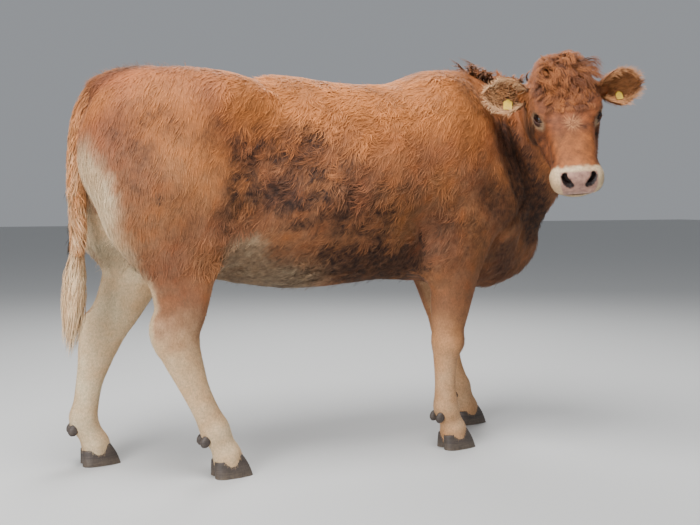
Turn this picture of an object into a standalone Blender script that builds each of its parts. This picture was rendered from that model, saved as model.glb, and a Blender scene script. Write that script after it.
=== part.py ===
"""A young beef cow at life size, standing in one stride with its head turned to its right.

Metres. X runs towards the brisket, Y to the animal's left and Z up. The flesh is one smooth
field of blended limbs and muscles, polygonised once for the body and once, finer, for the head,
then parted with thin cuts. Ears, eyes, hooves, tail and locks of hair are made on their own.
"""

import math
import random

import bmesh
import bpy
import numpy as np
from mathutils import Matrix, Vector

# Gaps, steps, how many points are worked out at once, and the far end of every distance
GAP = 0.0003
MERGES = (0.00002, 0.000005, 0.000001, 0.0)
BODY_STEP = 0.015
HEAD_STEP = 0.004
BODY_TRIANGLES = 4600
HEAD_TRIANGLES = 3000
BODY_ROOM = ((-1.10, -0.75, -0.03), (1.00, 0.42, 1.47))
HEAD_ROOM = 0.36
BATCH = 60000
SMOOTH_BELOW = 40.0
FAR = 0.30

THINNEST = 0.004
NEARBY = 0.16

# Driving heights of the animal
WITHERS = 1.352
LOIN = 1.292
RUMP = 1.314
CHEST_FLOOR = 0.585
CORONET = 0.060
CORONET_SLOPE = 12.0
# Each claw: share of its height, reach of the toe and half width. Then heel, and half the cleft
CLAW_LEVELS = ((0.0, 0.082, 0.0250), (0.45, 0.070, 0.0242), (1.0, 0.048, 0.0205))
CLAW_HEEL = 0.047
CLEFT = 0.0022
DEWCLAW_SIZE = (0.017, 0.012, 0.021)
DEWCLAW_TILT = 28.0
DEWCLAW_OUT = 0.022
DEWCLAW_DROP = 0.032
FETLOCK_BELOW = 0.16

# The trunk: x, top, floor, half width
TRUNK = [
    (-0.74, RUMP - 0.014, 0.86, 0.175),
    (-0.66, RUMP - 0.004, 0.80, 0.215),
    (-0.54, RUMP, 0.71, 0.245),
    (-0.40, RUMP - 0.002, 0.615, 0.272),
    (-0.24, RUMP - 0.010, CHEST_FLOOR - 0.003, 0.298),
    (-0.08, LOIN, CHEST_FLOOR + 0.003, 0.308),
    (0.08, LOIN, CHEST_FLOOR + 0.015, 0.300),
    (0.22, LOIN + 0.020, CHEST_FLOOR + 0.005, 0.272),
    (0.34, WITHERS - 0.014, CHEST_FLOOR - 0.010, 0.232),
    (0.44, WITHERS, CHEST_FLOOR - 0.020, 0.205),
]

# Masses of flesh: centre, half sizes, tilt, share of the stride's lean and softness of the join
HIND_MASSES = [
    ((-0.65, 0.105, 1.045), (0.250, 0.155, 0.246), 0, 0.0, 0.0),
    ((-0.79, 0.115, 0.98), (0.122, 0.115, 0.235), -6, 0.4, 0.06),
    ((-0.66, 0.165, 0.86), (0.205, 0.118, 0.225), 10, 1.0, 0.09),
    ((-0.470, 0.180, 1.190), (0.090, 0.060, 0.065), 0, 0.0, 0.14),
]
SHOULDER_MASSES = [
    ((0.335, 0.135, 1.03), (0.165, 0.118, 0.285), -14, 0.0, 0.0),
    ((0.515, 0.150, 0.86), (0.105, 0.078, 0.125), 0, 0.0, 0.08),
    ((0.235, 0.188, 0.690), (0.055, 0.050, 0.075), 0, 0.0, 0.06),
]
LEAN_SHARE = 0.18
# Brisket, then belly behind the navel and the tail head: centre, half sizes and softness
BRISKET = ((0.560, 0, 0.745), (0.180, 0.130, 0.170), 0.08)
UNDER_MASSES = [
    ((-0.45, 0, 0.700), (0.120, 0.100, 0.062), 0.06),
    ((-0.790, 0, 1.230), (0.110, 0.065, 0.055), 0.06),
]
# Hollows of both sides: the flank and the groove behind the elbow
HOLLOWS = [
    ((-0.330, 0.345, 1.080), (0.120, 0.050, 0.110), 0.14),
    ((0.165, 0.300, 0.690), (0.045, 0.030, 0.110), 0.08),
]
# How far the cutting blocks reach to the sides, and along the body
CUT_WIDE = 0.90
CUT_LONG = 1.30
# How softly the parts of the body run into one another
SOFT_HIND = 0.10
SOFT_SHOULDER = 0.085
SOFT_NECK = 0.10
SOFT_SKIN = 0.045
SOFT_THIGH = 0.055
# Point of the hock, the cord above it and the bulge of the knee
HOCK_BELOW = 0.50
HOCK_POINT = (-0.064, 0.0, 0.002)
HOCK_SIZE = (0.024, 0.024, 0.046)
CORD_SPAN = (0.42, 0.66)
CORD_BACK = 0.82
CORD_RADIUS = 0.018
KNEE_BELOW = 0.39
KNEE_POINT = (0.012, 0.0, 0.0)
KNEE_SIZE = (0.050, 0.050, 0.046)

# Neck and legs: x, y, z, half width across, half depth
NECK = [
    (0.36, 0.000, 0.985, 0.200, 0.345),
    (0.50, 0.000, 1.015, 0.172, 0.325),
    (0.61, -0.022, 1.060, 0.150, 0.295),
    (0.685, -0.068, 1.115, 0.132, 0.240),
    (0.722, -0.138, 1.175, 0.116, 0.185),
    (0.712, -0.215, 1.232, 0.102, 0.145),
]
DEWLAP = [
    (0.735, -0.190, 1.050, 0.028, 0.045),
    (0.712, -0.160, 0.940, 0.028, 0.045),
    (0.700, -0.110, 0.850, 0.032, 0.044),
    (0.708, -0.055, 0.780, 0.038, 0.046),
    (0.728, -0.020, 0.715, 0.046, 0.050),
    (0.695, 0.000, 0.660, 0.056, 0.052),
    (0.640, 0.000, 0.634, 0.060, 0.050),
    (0.560, 0.000, 0.612, 0.062, 0.048),
]
FORELEG = [
    (0.335, 0.185, 0.800, 0.075, 0.145),
    (0.318, 0.190, 0.690, 0.074, 0.118),
    (0.312, 0.186, 0.590, 0.066, 0.092),
    (0.306, 0.178, 0.500, 0.057, 0.075),
    (0.302, 0.172, 0.435, 0.050, 0.063),
    (0.299, 0.168, 0.385, 0.053, 0.058),
    (0.297, 0.165, 0.335, 0.043, 0.048),
    (0.298, 0.161, 0.250, 0.036, 0.041),
    (0.302, 0.157, 0.190, 0.039, 0.044),
    (0.307, 0.154, 0.150, 0.046, 0.050),
    (0.324, 0.152, 0.104, 0.041, 0.043),
    (0.336, 0.151, 0.070, 0.050, 0.050),
    (0.342, 0.151, 0.035, 0.048, 0.048),
]
HINDLEG = [
    (-0.640, 0.165, 0.900, 0.100, 0.205),
    (-0.650, 0.172, 0.790, 0.095, 0.165),
    (-0.652, 0.178, 0.700, 0.082, 0.128),
    (-0.646, 0.180, 0.620, 0.066, 0.102),
    (-0.648, 0.178, 0.550, 0.056, 0.084),
    (-0.662, 0.176, 0.485, 0.050, 0.075),
    (-0.657, 0.174, 0.425, 0.046, 0.069),
    (-0.634, 0.171, 0.360, 0.040, 0.058),
    (-0.602, 0.167, 0.280, 0.035, 0.047),
    (-0.567, 0.163, 0.205, 0.038, 0.045),
    (-0.543, 0.160, 0.155, 0.047, 0.051),
    (-0.520, 0.158, 0.106, 0.041, 0.044),
    (-0.504, 0.157, 0.070, 0.050, 0.050),
    (-0.498, 0.157, 0.035, 0.048, 0.048),
]
# How far each leg is carried forward at the foot, from the place where it leaves the body
STEP_TOP = 0.86
STEP_FOOT = 0.15
DROP_AT = 0.44
DROP_SPREAD = 0.12
STRIDES = {"front_right": 0.0, "front_left": 0.235, "hind_right": 0.0, "hind_left": -0.365}
SWING_BEND = {"front": 0.60, "hind": 1.30}
HOCK_DROP = {"hind_left": 0.030}

# The head turns right, nods and leans. Its own frame has X from poll to nose and Z out of the brow
HEAD_ORIGIN = Vector((0.645, -0.338, 1.363))
HEAD_HEADING = -111.8
HEAD_NOD = 55.0
HEAD_LEAN = 7.0
HEAD_SIZE = 1.02
FACE = [
    (-0.010, 0.0, -0.088, 0.076, 0.058),
    (0.045, 0.0, -0.080, 0.104, 0.070),
    (0.115, 0.0, -0.076, 0.120, 0.077),
    (0.190, 0.0, -0.076, 0.111, 0.076),
    (0.255, 0.0, -0.073, 0.096, 0.067),
    (0.325, 0.0, -0.072, 0.084, 0.057),
    (0.385, 0.0, -0.073, 0.077, 0.051),
    (0.425, 0.0, -0.077, 0.080, 0.046),
]
JAW = [
    (0.055, 0.0, -0.155, 0.088, 0.058),
    (0.115, 0.0, -0.160, 0.094, 0.060),
    (0.190, 0.0, -0.152, 0.084, 0.055),
    (0.270, 0.0, -0.134, 0.068, 0.044),
    (0.340, 0.0, -0.120, 0.058, 0.034),
    (0.405, 0.0, -0.117, 0.056, 0.027),
    (0.432, 0.0, -0.116, 0.056, 0.024),
]
EYE = Vector((0.203, 0.0880, -0.053))
EYE_GAZE = Vector((0.20, 0.69, 0.69))
EYE_SLIT = Vector((0.75, -0.45, 0.20))
EYE_RADIUS = 0.0200
MUZZLE = Vector((0.425, 0.0, -0.078))
HEAD_MIDDLE = (0.22, 0, -0.09)
HEAD_REACH = 0.46
# Poll, muzzle and chin. Then jaw, cheekbone, brow and nostril wing of each side, and its hollow
HEAD_MASSES = [
    ((0.010, 0, -0.060), (0.060, 0.078, 0.040), 0.06),
    (MUZZLE, (0.046, 0.077, 0.048), 0.035),
    ((0.420, 0, -0.126), (0.046, 0.056, 0.025), 0.020),
]
CHEEK_MASSES = [
    ((0.125, 0.078, -0.150), (0.095, 0.038, 0.070), 0.04),
    ((0.245, 0.076, -0.100), (0.080, 0.020, 0.022), 0.04),
    ((0.178, 0.082, -0.036), (0.046, 0.028, 0.026), 0.035),
    ((0.450, 0.046, -0.084), (0.027, 0.031, 0.036), 0.020),
]
CHEEK_HOLLOW = ((0.300, 0.103, -0.060), (0.070, 0.020, 0.030), 0.04)
# Lids: thickness, half height and half length of the slit, and how deep it goes in
LID = 0.0055
SLIT_HIGH = 0.0105
SLIT_LONG = 0.0215
SLIT_DEPTH = 0.006
# One nostril: x, y, z and two half sizes along it, and how far back its inside lies
NOSTRIL_RUN = [
    (0.475, 0.027, -0.058, 0.0060, 0.0052),
    (0.472, 0.034, -0.053, 0.0082, 0.0070),
    (0.464, 0.043, -0.045, 0.0080, 0.0070),
    (0.452, 0.051, -0.037, 0.0048, 0.0042),
]
NOSTRIL_DEPTH = 0.020
# The mouth: height of its line, rise at the back, half width, depth and hind end
MOUTH_LINE = -0.1125
MOUTH_RISE = 0.012
MOUTH_WIDE = 0.0042
MOUTH_DEPTH = 0.011
MOUTH_END = 0.325
# The head's share of the body in its own XZ plane, and its side faces
HEAD_CUT = [(-0.16, 0.16), (-0.105, 0.0), (0.035, -0.245), (0.50, -0.165), (0.60, -0.10), (0.60, 0.16)]
HEAD_CUT_SIDES = (-0.145, 0.175)
EAR_ROOT = Vector((0.079, 0.098, -0.074))
EAR_AXIS = Vector((-0.12, 0.99, 0.06))
EAR_MOUTH = Vector((0.70, 0.15, 0.69))
EAR_LENGTH = 0.142
EAR_WIDTH = 0.063
EAR_START = 0.026
EAR_CURVE = 0.016
EAR_THICK = 0.0055
EAR_STUB = (0.046, 0.025, 0.027)
TAG_SHARE = 0.42
TAG_TURN = 32.0
LOCK_WIDE = 0.032
LOCK_THICK = 0.36
MOP_WIDTH = 0.150
# Rows of locks on the poll: place along and above it, count, length and rise
FORELOCK_ROWS = [
    (-0.040, -0.040, 6, 0.085, 0.24),
    (-0.012, -0.012, 7, 0.090, 0.22),
    (0.022, 0.0, 6, 0.080, 0.18),
    (0.058, 0.0, 5, 0.062, 0.16),
]
TAG_PLATES = {"right": (0.030, 0.040), "left": (0.022, 0.030)}
TAG_OUTLINE = [(-0.5, -0.28), (-0.2, -0.5), (0.2, -0.5), (0.5, -0.28), (0.5, 0.5), (-0.5, 0.5)]
TAG_THICK = 0.0020
TAG_STAND_OFF = 0.0200
TAG_PIN = 0.0035
TAG_BUTTON = 0.0110

# Where the legs and the neck part from the trunk, as outlines in the XZ plane
LEG_CUTS = {
    "front_right": [(0.10, 0.66), (0.38, 0.66), (0.48, 0.54), (0.48, -0.1), (0.10, -0.1)],
    "front_left": [(0.10, 0.64), (0.44, 0.64), (0.62, 0.52), (0.72, 0.30), (0.72, -0.1), (0.10, -0.1)],
    "hind_right": [(-1.20, 0.88), (-0.47, 0.70), (-0.40, 0.60), (-0.40, -0.1), (-1.20, -0.1)],
    "hind_left": [(-1.20, 0.88), (-0.47, 0.70), (-0.40, 0.60), (-0.40, -0.1), (-1.20, -0.1)],
}
LEG_INNER = {"front_right": 0.060, "front_left": 0.075, "hind_right": 0.030, "hind_left": 0.030}
KNEE_SPLIT = 0.345
HOCK_SPLIT = 0.405
NECK_CUT = [(0.435, 1.34), (0.405, 1.60), (1.20, 1.60), (1.20, 0.40), (0.70, 0.40), (0.64, 0.70)]

# The tail's dock: x, y, z, half width, half depth
TAIL = [
    (-0.740, 0.0, 1.268, 0.052, 0.036),
    (-0.800, 0.0, 1.262, 0.050, 0.039),
    (-0.854, 0.0, 1.228, 0.044, 0.042),
    (-0.896, 0.0, 1.174, 0.037, 0.039),
    (-0.921, 0.0, 1.100, 0.032, 0.034),
    (-0.933, 0.0, 1.000, 0.030, 0.031),
    (-0.934, 0.0, 0.880, 0.028, 0.029),
    (-0.934, 0.0, 0.790, 0.025, 0.026),
    (-0.936, 0.0, 0.735, 0.020, 0.020),
]
# Room kept round the dock for its locks, station by station
TAIL_ROOM = (0.0004, 0.0004, 0.006, 0.017, 0.020, 0.018, 0.015, 0.015, 0.015)
# Locks of the dock: width and thickness, share along and rise, and turns round it in two rows
TAIL_LOCK = (0.030, 0.008)
TAIL_LOCK_RISE = ((-0.15, -0.010), (0.3, 0.0055), (0.7, 0.006), (1.0, 0.002))
TAIL_LOCK_TURNS = ((-62, 62), (-20, 100, -100))
# The switch: drop back and down from the dock's end and two half widths, then its locks' size
SWITCH = [
    (0.0, 0.0, 0.019, 0.019),
    (-0.004, -0.09, 0.030, 0.034),
    (-0.014, -0.17, 0.024, 0.028),
    (-0.030, -0.24, 0.008, 0.010),
]
SWITCH_LOCK = (0.036, 0.012)
SWITCH_LENGTH = 0.268


# Field tools


def catmull(knots, cuts):
    """Rows of numbers turned into a smooth run with cuts points for each span."""
    knots = np.asarray(knots, float)
    padded = np.vstack([2 * knots[0] - knots[1], knots, 2 * knots[-1] - knots[-2]])
    run = []
    for a, b, c, d in zip(padded, padded[1:], padded[2:], padded[3:]):
        for t in np.arange(cuts) / cuts:
            square = 2 * a - 5 * b + 4 * c - d
            cube = 3 * b - a - 3 * c + d
            run.append(0.5 * (2 * b + (c - a) * t + square * t**2 + cube * t**3))
    run.append(knots[-1])
    return np.array(run)


def unit(rows):
    return rows / np.maximum(np.linalg.norm(rows, axis=-1, keepdims=True), 1e-9)


def tube(points, stations, side=(0, 1, 0), power=2.0, egg=0.0, cuts=4):
    """Distance, near the surface, to a limb that runs along its stations. No side means level."""
    run = catmull(stations, cuts)
    centre, radii = run[:, :3], np.maximum(run[:, 3:5], THINNEST)
    reach = radii.max() + NEARBY
    out = np.full(len(points), FAR)
    near = np.all((points > centre.min(0) - reach) & (points < centre.max(0) + reach), axis=1)
    q = points[near]
    if not len(q):
        return out
    start, span = centre[:-1], np.diff(centre, axis=0)
    length2 = (span**2).sum(1)
    tangents = unit(np.gradient(centre, axis=0))
    values = np.empty(len(q))
    for first in range(0, len(q), BATCH):
        p = q[first : first + BATCH]
        t = np.clip(((p @ span.T) - (start * span).sum(1)) / length2, 0, 1)
        away = (
            (p**2).sum(1)[:, None]
            - 2 * (p @ start.T + t * (p @ span.T))
            + (start**2).sum(1)
            + 2 * t * (start * span).sum(1)
            + t**2 * length2
        )
        best = away.argmin(1)
        s = t[np.arange(len(p)), best][:, None]
        mid = start[best] + s * span[best]
        along = unit(tangents[best] * (1 - s) + tangents[best + 1] * s)
        size = radii[best] * (1 - s) + radii[best + 1] * s
        if side is None:
            across = np.cross((0.0, 0.0, 1.0), along)
        else:
            across = np.broadcast_to(np.asarray(side, float), along.shape)
        across = unit(across - (across * along).sum(1)[:, None] * along)
        deep = np.cross(across, along)
        o = p - mid
        b = (o * deep).sum(1) / size[:, 1]
        a = (o * across).sum(1) / (size[:, 0] * (1 + egg * np.clip(b, -1, 1)))
        c = (o * along).sum(1) / size.min(1)
        k = (np.abs(a) ** power + np.abs(b) ** power + np.abs(c) ** power) ** (1 / power)
        k = np.maximum(k, 1e-4)
        slope = np.sqrt(
            (np.abs(a) ** (power - 1) / size[:, 0]) ** 2
            + (np.abs(b) ** (power - 1) / size[:, 1]) ** 2
            + (np.abs(c) ** (power - 1) / size.min(1)) ** 2
        )
        values[first : first + BATCH] = (k - 1) / np.maximum(slope * k ** (1 - power), 1e-6)
    out[near] = np.minimum(values, FAR)
    return out


def ball(points, centre, radii, turn=None):
    """Distance, near the surface, to an ellipsoid."""
    q = points - np.asarray(centre, float)
    if turn is not None:
        q = q @ np.array(turn)
    radii = np.asarray(radii, float)
    k = np.linalg.norm(q / radii, axis=1)
    slope = np.linalg.norm(q / radii**2, axis=1)
    return np.minimum(k * (k - 1) / np.maximum(slope, 1e-6), FAR)


def join(a, b, soft):
    """Smooth union."""
    h = np.clip(0.5 + 0.5 * (b - a) / soft, 0, 1)
    return b * (1 - h) + a * h - soft * h * (1 - h)


def carve(a, b, soft):
    """Smooth difference, a less b."""
    return -join(-a, b, soft)


def about_y(degrees):
    return np.array(Matrix.Rotation(math.radians(degrees), 3, "Y"))


def mirrored(place, side):
    return (place[0], side * place[1], place[2])


# Flesh


def leg_stations(name):
    """One leg's stations, with its stride and its side."""
    rows = FORELEG if name.startswith("front") else HINDLEG
    side = -1 if name.endswith("right") else 1
    stride = STRIDES[name]
    drop = HOCK_DROP.get(name, 0.0)
    placed = []
    for x, y, z, w, d in rows:
        share = np.clip((STEP_TOP - z) / (STEP_TOP - STEP_FOOT), 0, 1)
        swing = stride * share ** SWING_BEND[name.split("_")[0]]
        lowered = drop * math.exp(-(((z - DROP_AT) / DROP_SPREAD) ** 2))
        placed.append((x + swing, side * y, z - lowered, w, d))
    return placed


def trunk(points):
    stations = [(x, 0.0, (top + floor) / 2, w, (top - floor) / 2) for x, top, floor, w in TRUNK]
    return tube(points, stations, power=2.25, egg=0.07, cuts=3)


def masses(points, rows, side, lean=0.0):
    """Ellipsoids of one side, joined in turn. The lean moves each forwards by its share."""
    flesh = None
    for (x, y, z), radii, tilt, share, soft in rows:
        mass = ball(points, (x + share * lean, side * y, z), radii, about_y(tilt))
        flesh = mass if flesh is None else join(flesh, mass, soft)
    return flesh


def limb(points, name):
    stations = leg_stations(name)
    leg = tube(points, stations)
    if name.startswith("hind"):
        hock = next(s[:3] for s in stations if s[2] < HOCK_BELOW)
        point = ball(points, np.add(hock, HOCK_POINT), HOCK_SIZE)
        calf = [s for s in stations if CORD_SPAN[0] < s[2] < CORD_SPAN[1]]
        cord = [(x - CORD_BACK * d, y, z, CORD_RADIUS, CORD_RADIUS) for x, y, z, w, d in calf]
        return join(join(leg, point, 0.035), tube(points, cord), 0.025)
    knee = next(s[:3] for s in stations if s[2] < KNEE_BELOW)
    return join(leg, ball(points, np.add(knee, KNEE_POINT), KNEE_SIZE), 0.03)


def head_matrix():
    heading, nod, lean = (math.radians(v) for v in (HEAD_HEADING, HEAD_NOD, HEAD_LEAN))
    forward = Vector((math.cos(heading) * math.cos(nod), math.sin(heading) * math.cos(nod), -math.sin(nod)))
    over = Vector((math.cos(heading) * math.sin(nod), math.sin(heading) * math.sin(nod), math.cos(nod)))
    level = over.cross(forward)
    left = level * math.cos(lean) + over * math.sin(lean)
    return Matrix((forward, left, forward.cross(left))).transposed()


def eye_opening(q, side):
    """How far a point of the head's frame is above or below the slit between the lids."""
    gaze = np.array(mirrored(EYE_GAZE, side))
    gaze /= np.linalg.norm(gaze)
    along = np.array(mirrored(EYE_SLIT, side))
    along -= along @ gaze * gaze
    along /= np.linalg.norm(along)
    over = np.cross(gaze, along) * (1 if side < 0 else -1)
    o = q - np.array(mirrored(EYE, side))
    return o @ gaze, o @ along, o @ over


def head(points):
    """The head without its ears and eyes."""
    turn = np.array(head_matrix())
    q = (points - np.array(HEAD_ORIGIN)) @ turn / HEAD_SIZE
    out = np.full(len(points), FAR)
    near = np.linalg.norm(q - np.array(HEAD_MIDDLE), axis=1) < HEAD_REACH
    q = q[near]
    f = tube(q, FACE, power=2.35, cuts=3)
    f = join(f, tube(q, JAW, power=2.2, cuts=3), 0.045)
    for centre, radii, soft in HEAD_MASSES:
        f = join(f, ball(q, centre, radii), soft)
    for side in (-1, 1):
        for centre, radii, soft in CHEEK_MASSES:
            f = join(f, ball(q, mirrored(centre, side), radii), soft)
        centre, radii, soft = CHEEK_HOLLOW
        f = carve(f, ball(q, mirrored(centre, side), radii), soft)
        f = lids(f, q, side)
        f = nostril(f, q, side)
    f = mouth(f, q)
    out[near] = np.minimum(f * HEAD_SIZE, FAR)
    return out


def lids(f, q, side):
    """A rim of lid over the eyeball, parted by a slit that tapers to both corners."""
    toward, along, over = eye_opening(q, side)
    distance = np.sqrt(toward**2 + along**2 + over**2)
    f = join(f, distance - (EYE_RADIUS + LID), 0.010)
    half = SLIT_HIGH * np.clip(1 - (along / SLIT_LONG) ** 2, 0, 1) ** 0.7
    slit = np.where(toward > 0, np.abs(over - 0.001) - half, EYE_RADIUS)
    slit = np.maximum(slit, np.abs(along) - SLIT_LONG)
    return carve(f, np.maximum(slit, SLIT_DEPTH - toward), 0.003)


def nostril(f, q, side):
    """A comma-shaped opening that runs up and outwards on the front of the muzzle."""
    run = [(x, side * y, z, w, d) for x, y, z, w, d in NOSTRIL_RUN]
    inner = [(x - NOSTRIL_DEPTH, y, z, w, d) for x, y, z, w, d in run[:3]]
    f = carve(f, tube(q, run, cuts=3), 0.005)
    return carve(f, tube(q, inner, cuts=2), 0.006)


def mouth(f, q):
    """The slit between the lips, round the front and back along both cheeks."""
    line = MOUTH_LINE + MOUTH_RISE * np.clip((0.44 - q[:, 0]) / 0.11, 0, 1) ** 2
    wide = MOUTH_WIDE * np.clip((q[:, 0] - MOUTH_END) / 0.05, 0, 1)
    groove = np.abs(q[:, 2] - line) - wide * np.clip(1 + f / MOUTH_DEPTH, 0, 1) + 0.0002
    return carve(f, np.maximum(groove, MOUTH_END - q[:, 0]), 0.003)


def flesh(points):
    """The whole body without ears and tail."""
    f = trunk(points)
    for side, name in ((-1, "hind_right"), (1, "hind_left")):
        lean = LEAN_SHARE * STRIDES[name]
        f = join(f, masses(points, HIND_MASSES, side, lean), SOFT_HIND)
    for side in (-1, 1):
        f = join(f, masses(points, SHOULDER_MASSES, side), SOFT_SHOULDER)
    f = join(f, tube(points, NECK, side=None, power=2.1, cuts=5), SOFT_NECK)
    f = join(f, ball(points, *BRISKET[:2]), BRISKET[2])
    f = join(f, tube(points, DEWLAP), SOFT_SKIN)
    for centre, radii, soft in UNDER_MASSES:
        f = join(f, ball(points, centre, radii), soft)
    for side in (-1, 1):
        for centre, radii, soft in HOLLOWS:
            f = carve(f, ball(points, mirrored(centre, side), radii), soft)
    for name in STRIDES:
        f = join(f, limb(points, name), SOFT_SKIN if name.startswith("front") else SOFT_THIGH)
    return join(f, head(points), SOFT_SKIN)


# Polygoniser


def lattice(low, step, index):
    return low + index * step


def unpinch(values):
    """Moves lattice values off the patterns where two sheets of the surface would share an edge."""
    tiny = 1e-6
    for _ in range(20):
        inside = values < 0
        found = 0
        for u, v in ((0, 1), (1, 2), (0, 2)):
            step_u, step_v = np.eye(3, dtype=int)[u], np.eye(3, dtype=int)[v]
            window = [slice(0, values.shape[i] - step_u[i] - step_v[i]) for i in range(3)]
            ends = []
            for shift in (step_u, step_v, step_u + step_v):
                ends.append(tuple(slice(w.start + s, w.stop + s) for w, s in zip(window, shift)))
            a, b, c, d = inside[tuple(window)], inside[ends[0]], inside[ends[1]], inside[ends[2]]
            for row in np.argwhere((a == d) & (b == c) & (a != b)):
                open_pair = (row, row + step_u + step_v)
                if inside[tuple(row)]:
                    open_pair = (row + step_u, row + step_v)
                pick = min(open_pair, key=lambda at: values[tuple(at)])
                values[tuple(pick)] = -tiny
                found += 1
        inside = values < 0
        corners = [np.array((i, j, k)) for i in (0, 1) for j in (0, 1) for k in (0, 1)]
        cell = []
        for corner in corners:
            cell.append(inside[tuple(slice(c, n - 1 + c) for c, n in zip(corner, values.shape))])
        total = sum(c.astype(int) for c in cell)
        for i in range(4):
            opposite = cell[i] & cell[7 - i]
            neither = ~cell[i] & ~cell[7 - i]
            for sign, lone in ((1, (total == 2) & opposite), (-1, (total == 6) & neither)):
                for row in np.argwhere(lone):
                    values[tuple(row + corners[i])] = sign * tiny
                    found += 1
        if not found:
            break
    return values


def surface_net(field, low, high, step):
    """Points and quads of the field's zero surface, each point moved onto it."""
    low, high = np.asarray(low, float), np.asarray(high, float)
    coarse = 4
    blocks = np.ceil((high - low) / (step * coarse)).astype(int)
    shape = blocks * coarse + 1
    corner = np.stack(np.meshgrid(*[np.arange(n + 1) for n in blocks], indexing="ij"), -1)
    rough = field(lattice(low, step * coarse, corner.reshape(-1, 3))).reshape(blocks + 1)
    values = rough
    for axis in range(3):
        values = np.repeat(values, coarse, axis=axis)
    values = values[: shape[0], : shape[1], : shape[2]].copy()
    band = np.abs(rough) < step * coarse * 1.9
    marked = np.zeros(shape, bool)
    for block in np.argwhere(band):
        a = np.maximum(block * coarse - coarse, 0)
        b = np.minimum(block * coarse + coarse + 1, shape)
        marked[a[0] : b[0], a[1] : b[1], a[2] : b[2]] = True
    fine = np.argwhere(marked)
    values[marked] = field(lattice(low, step, fine))
    values = unpinch(values)
    inside = values < 0
    mixed = np.zeros(shape - 1, int)
    corners = [(i, j, k) for i in (0, 1) for j in (0, 1) for k in (0, 1)]
    for i, j, k in corners:
        mixed += inside[i : i + shape[0] - 1, j : j + shape[1] - 1, k : k + shape[2] - 1]
    cells = np.argwhere((mixed > 0) & (mixed < 8))
    at = np.array(corners)
    held = values[tuple((cells[:, None, :] + at[None]).transpose(2, 0, 1))]
    total = np.zeros((len(cells), 3))
    count = np.zeros(len(cells))
    for a in range(8):
        for b in range(a + 1, 8):
            if abs(at[a] - at[b]).sum() != 1:
                continue
            cross = (held[:, a] < 0) != (held[:, b] < 0)
            t = np.where(cross, held[:, a] / np.where(cross, held[:, a] - held[:, b], 1), 0)
            total[cross] += (at[a] + t[:, None] * (at[b] - at[a]))[cross]
            count += cross
    points = lattice(low, step, cells + total / count[:, None])
    number = np.full(shape - 1, -1, np.int64)
    number[tuple(cells.T)] = np.arange(len(cells))
    quads = []
    for axis in range(3):
        u, v = (axis + 1) % 3, (axis + 2) % 3
        ahead = np.roll(inside, -1, axis)
        change = inside != ahead
        rim = [slice(1, -1)] * 3
        rim[axis] = slice(0, shape[axis] - 1)
        hold = np.zeros(shape, bool)
        hold[tuple(rim)] = change[tuple(rim)]
        edges = np.argwhere(hold)
        du, dv = np.eye(3, dtype=int)[u], np.eye(3, dtype=int)[v]
        ring = [edges - du - dv, edges - dv, edges, edges - du]
        quad = np.stack([number[tuple(r.T)] for r in ring], 1)
        flip = ~inside[tuple(edges.T)]
        quad[flip] = quad[flip][:, ::-1]
        quads.append(quad)
    quads = np.concatenate(quads)
    return settle(field, points, step), quads


def settle(field, points, step, rounds=2):
    """Moves points onto the zero surface along its slope."""
    d = step * 0.15
    for _ in range(rounds):
        f = field(points)
        slope = np.stack([field(points + d * e) - f for e in np.eye(3)], 1) / d
        move = f[:, None] * slope / np.maximum((slope**2).sum(1, keepdims=True), 0.05)
        size = np.linalg.norm(move, axis=1, keepdims=True)
        points = points - move * np.minimum(1, 0.5 * step / np.maximum(size, 1e-9))
    return points


# Blender tools


def mesh_object(name, points, faces, material=None):
    mesh = bpy.data.meshes.new(name)
    mesh.from_pydata([tuple(p) for p in points], [], [tuple(int(i) for i in f) for f in faces])
    mesh.validate()
    obj = bpy.data.objects.new(name, mesh)
    bpy.context.scene.collection.objects.link(obj)
    if material:
        mesh.materials.append(material)
    return obj


def bake_modifiers(obj):
    """Replaces an object's mesh by what its modifiers make of it."""
    bpy.context.view_layer.update()
    graph = bpy.context.evaluated_depsgraph_get()
    mesh = bpy.data.meshes.new_from_object(obj.evaluated_get(graph))
    old = obj.data
    obj.modifiers.clear()
    obj.data = mesh
    bpy.data.meshes.remove(old)
    return obj


def tidy(obj):
    """Triangles, no doubled points, faces out, and only the largest closed surface."""
    for merge in MERGES:
        work = bmesh.new()
        work.from_mesh(obj.data)
        bmesh.ops.remove_doubles(work, verts=work.verts, dist=merge)
        bmesh.ops.dissolve_degenerate(work, edges=work.edges, dist=merge)
        bmesh.ops.triangulate(work, faces=work.faces)
        if all(v.is_manifold for v in work.verts) or merge == MERGES[-1]:
            break
        work.free()
    seen, best = set(), []
    for vert in work.verts:
        if vert in seen:
            continue
        group, stack = [], [vert]
        seen.add(vert)
        while stack:
            v = stack.pop()
            group.append(v)
            for edge in v.link_edges:
                other = edge.other_vert(v)
                if other not in seen:
                    seen.add(other)
                    stack.append(other)
        if len(group) > len(best):
            best = group
    kept = set(best)
    bmesh.ops.delete(work, geom=[v for v in work.verts if v not in kept], context="VERTS")
    bmesh.ops.recalc_face_normals(work, faces=work.faces)
    work.to_mesh(obj.data)
    work.free()
    return obj


def thin_out(obj, triangles):
    now = sum(len(p.vertices) - 2 for p in obj.data.polygons)
    modifier = obj.modifiers.new("thin", "DECIMATE")
    modifier.ratio = min(1.0, triangles / now)
    bake_modifiers(obj)
    return tidy(obj)


def cut(obj, other, operation, solver="EXACT"):
    modifier = obj.modifiers.new("cut", "BOOLEAN")
    modifier.operation = operation
    modifier.solver = solver
    modifier.object = other
    return bake_modifiers(obj)


def remove(obj):
    data = obj.data
    bpy.data.objects.remove(obj)
    if data.users == 0:
        bpy.data.meshes.remove(data)


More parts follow.
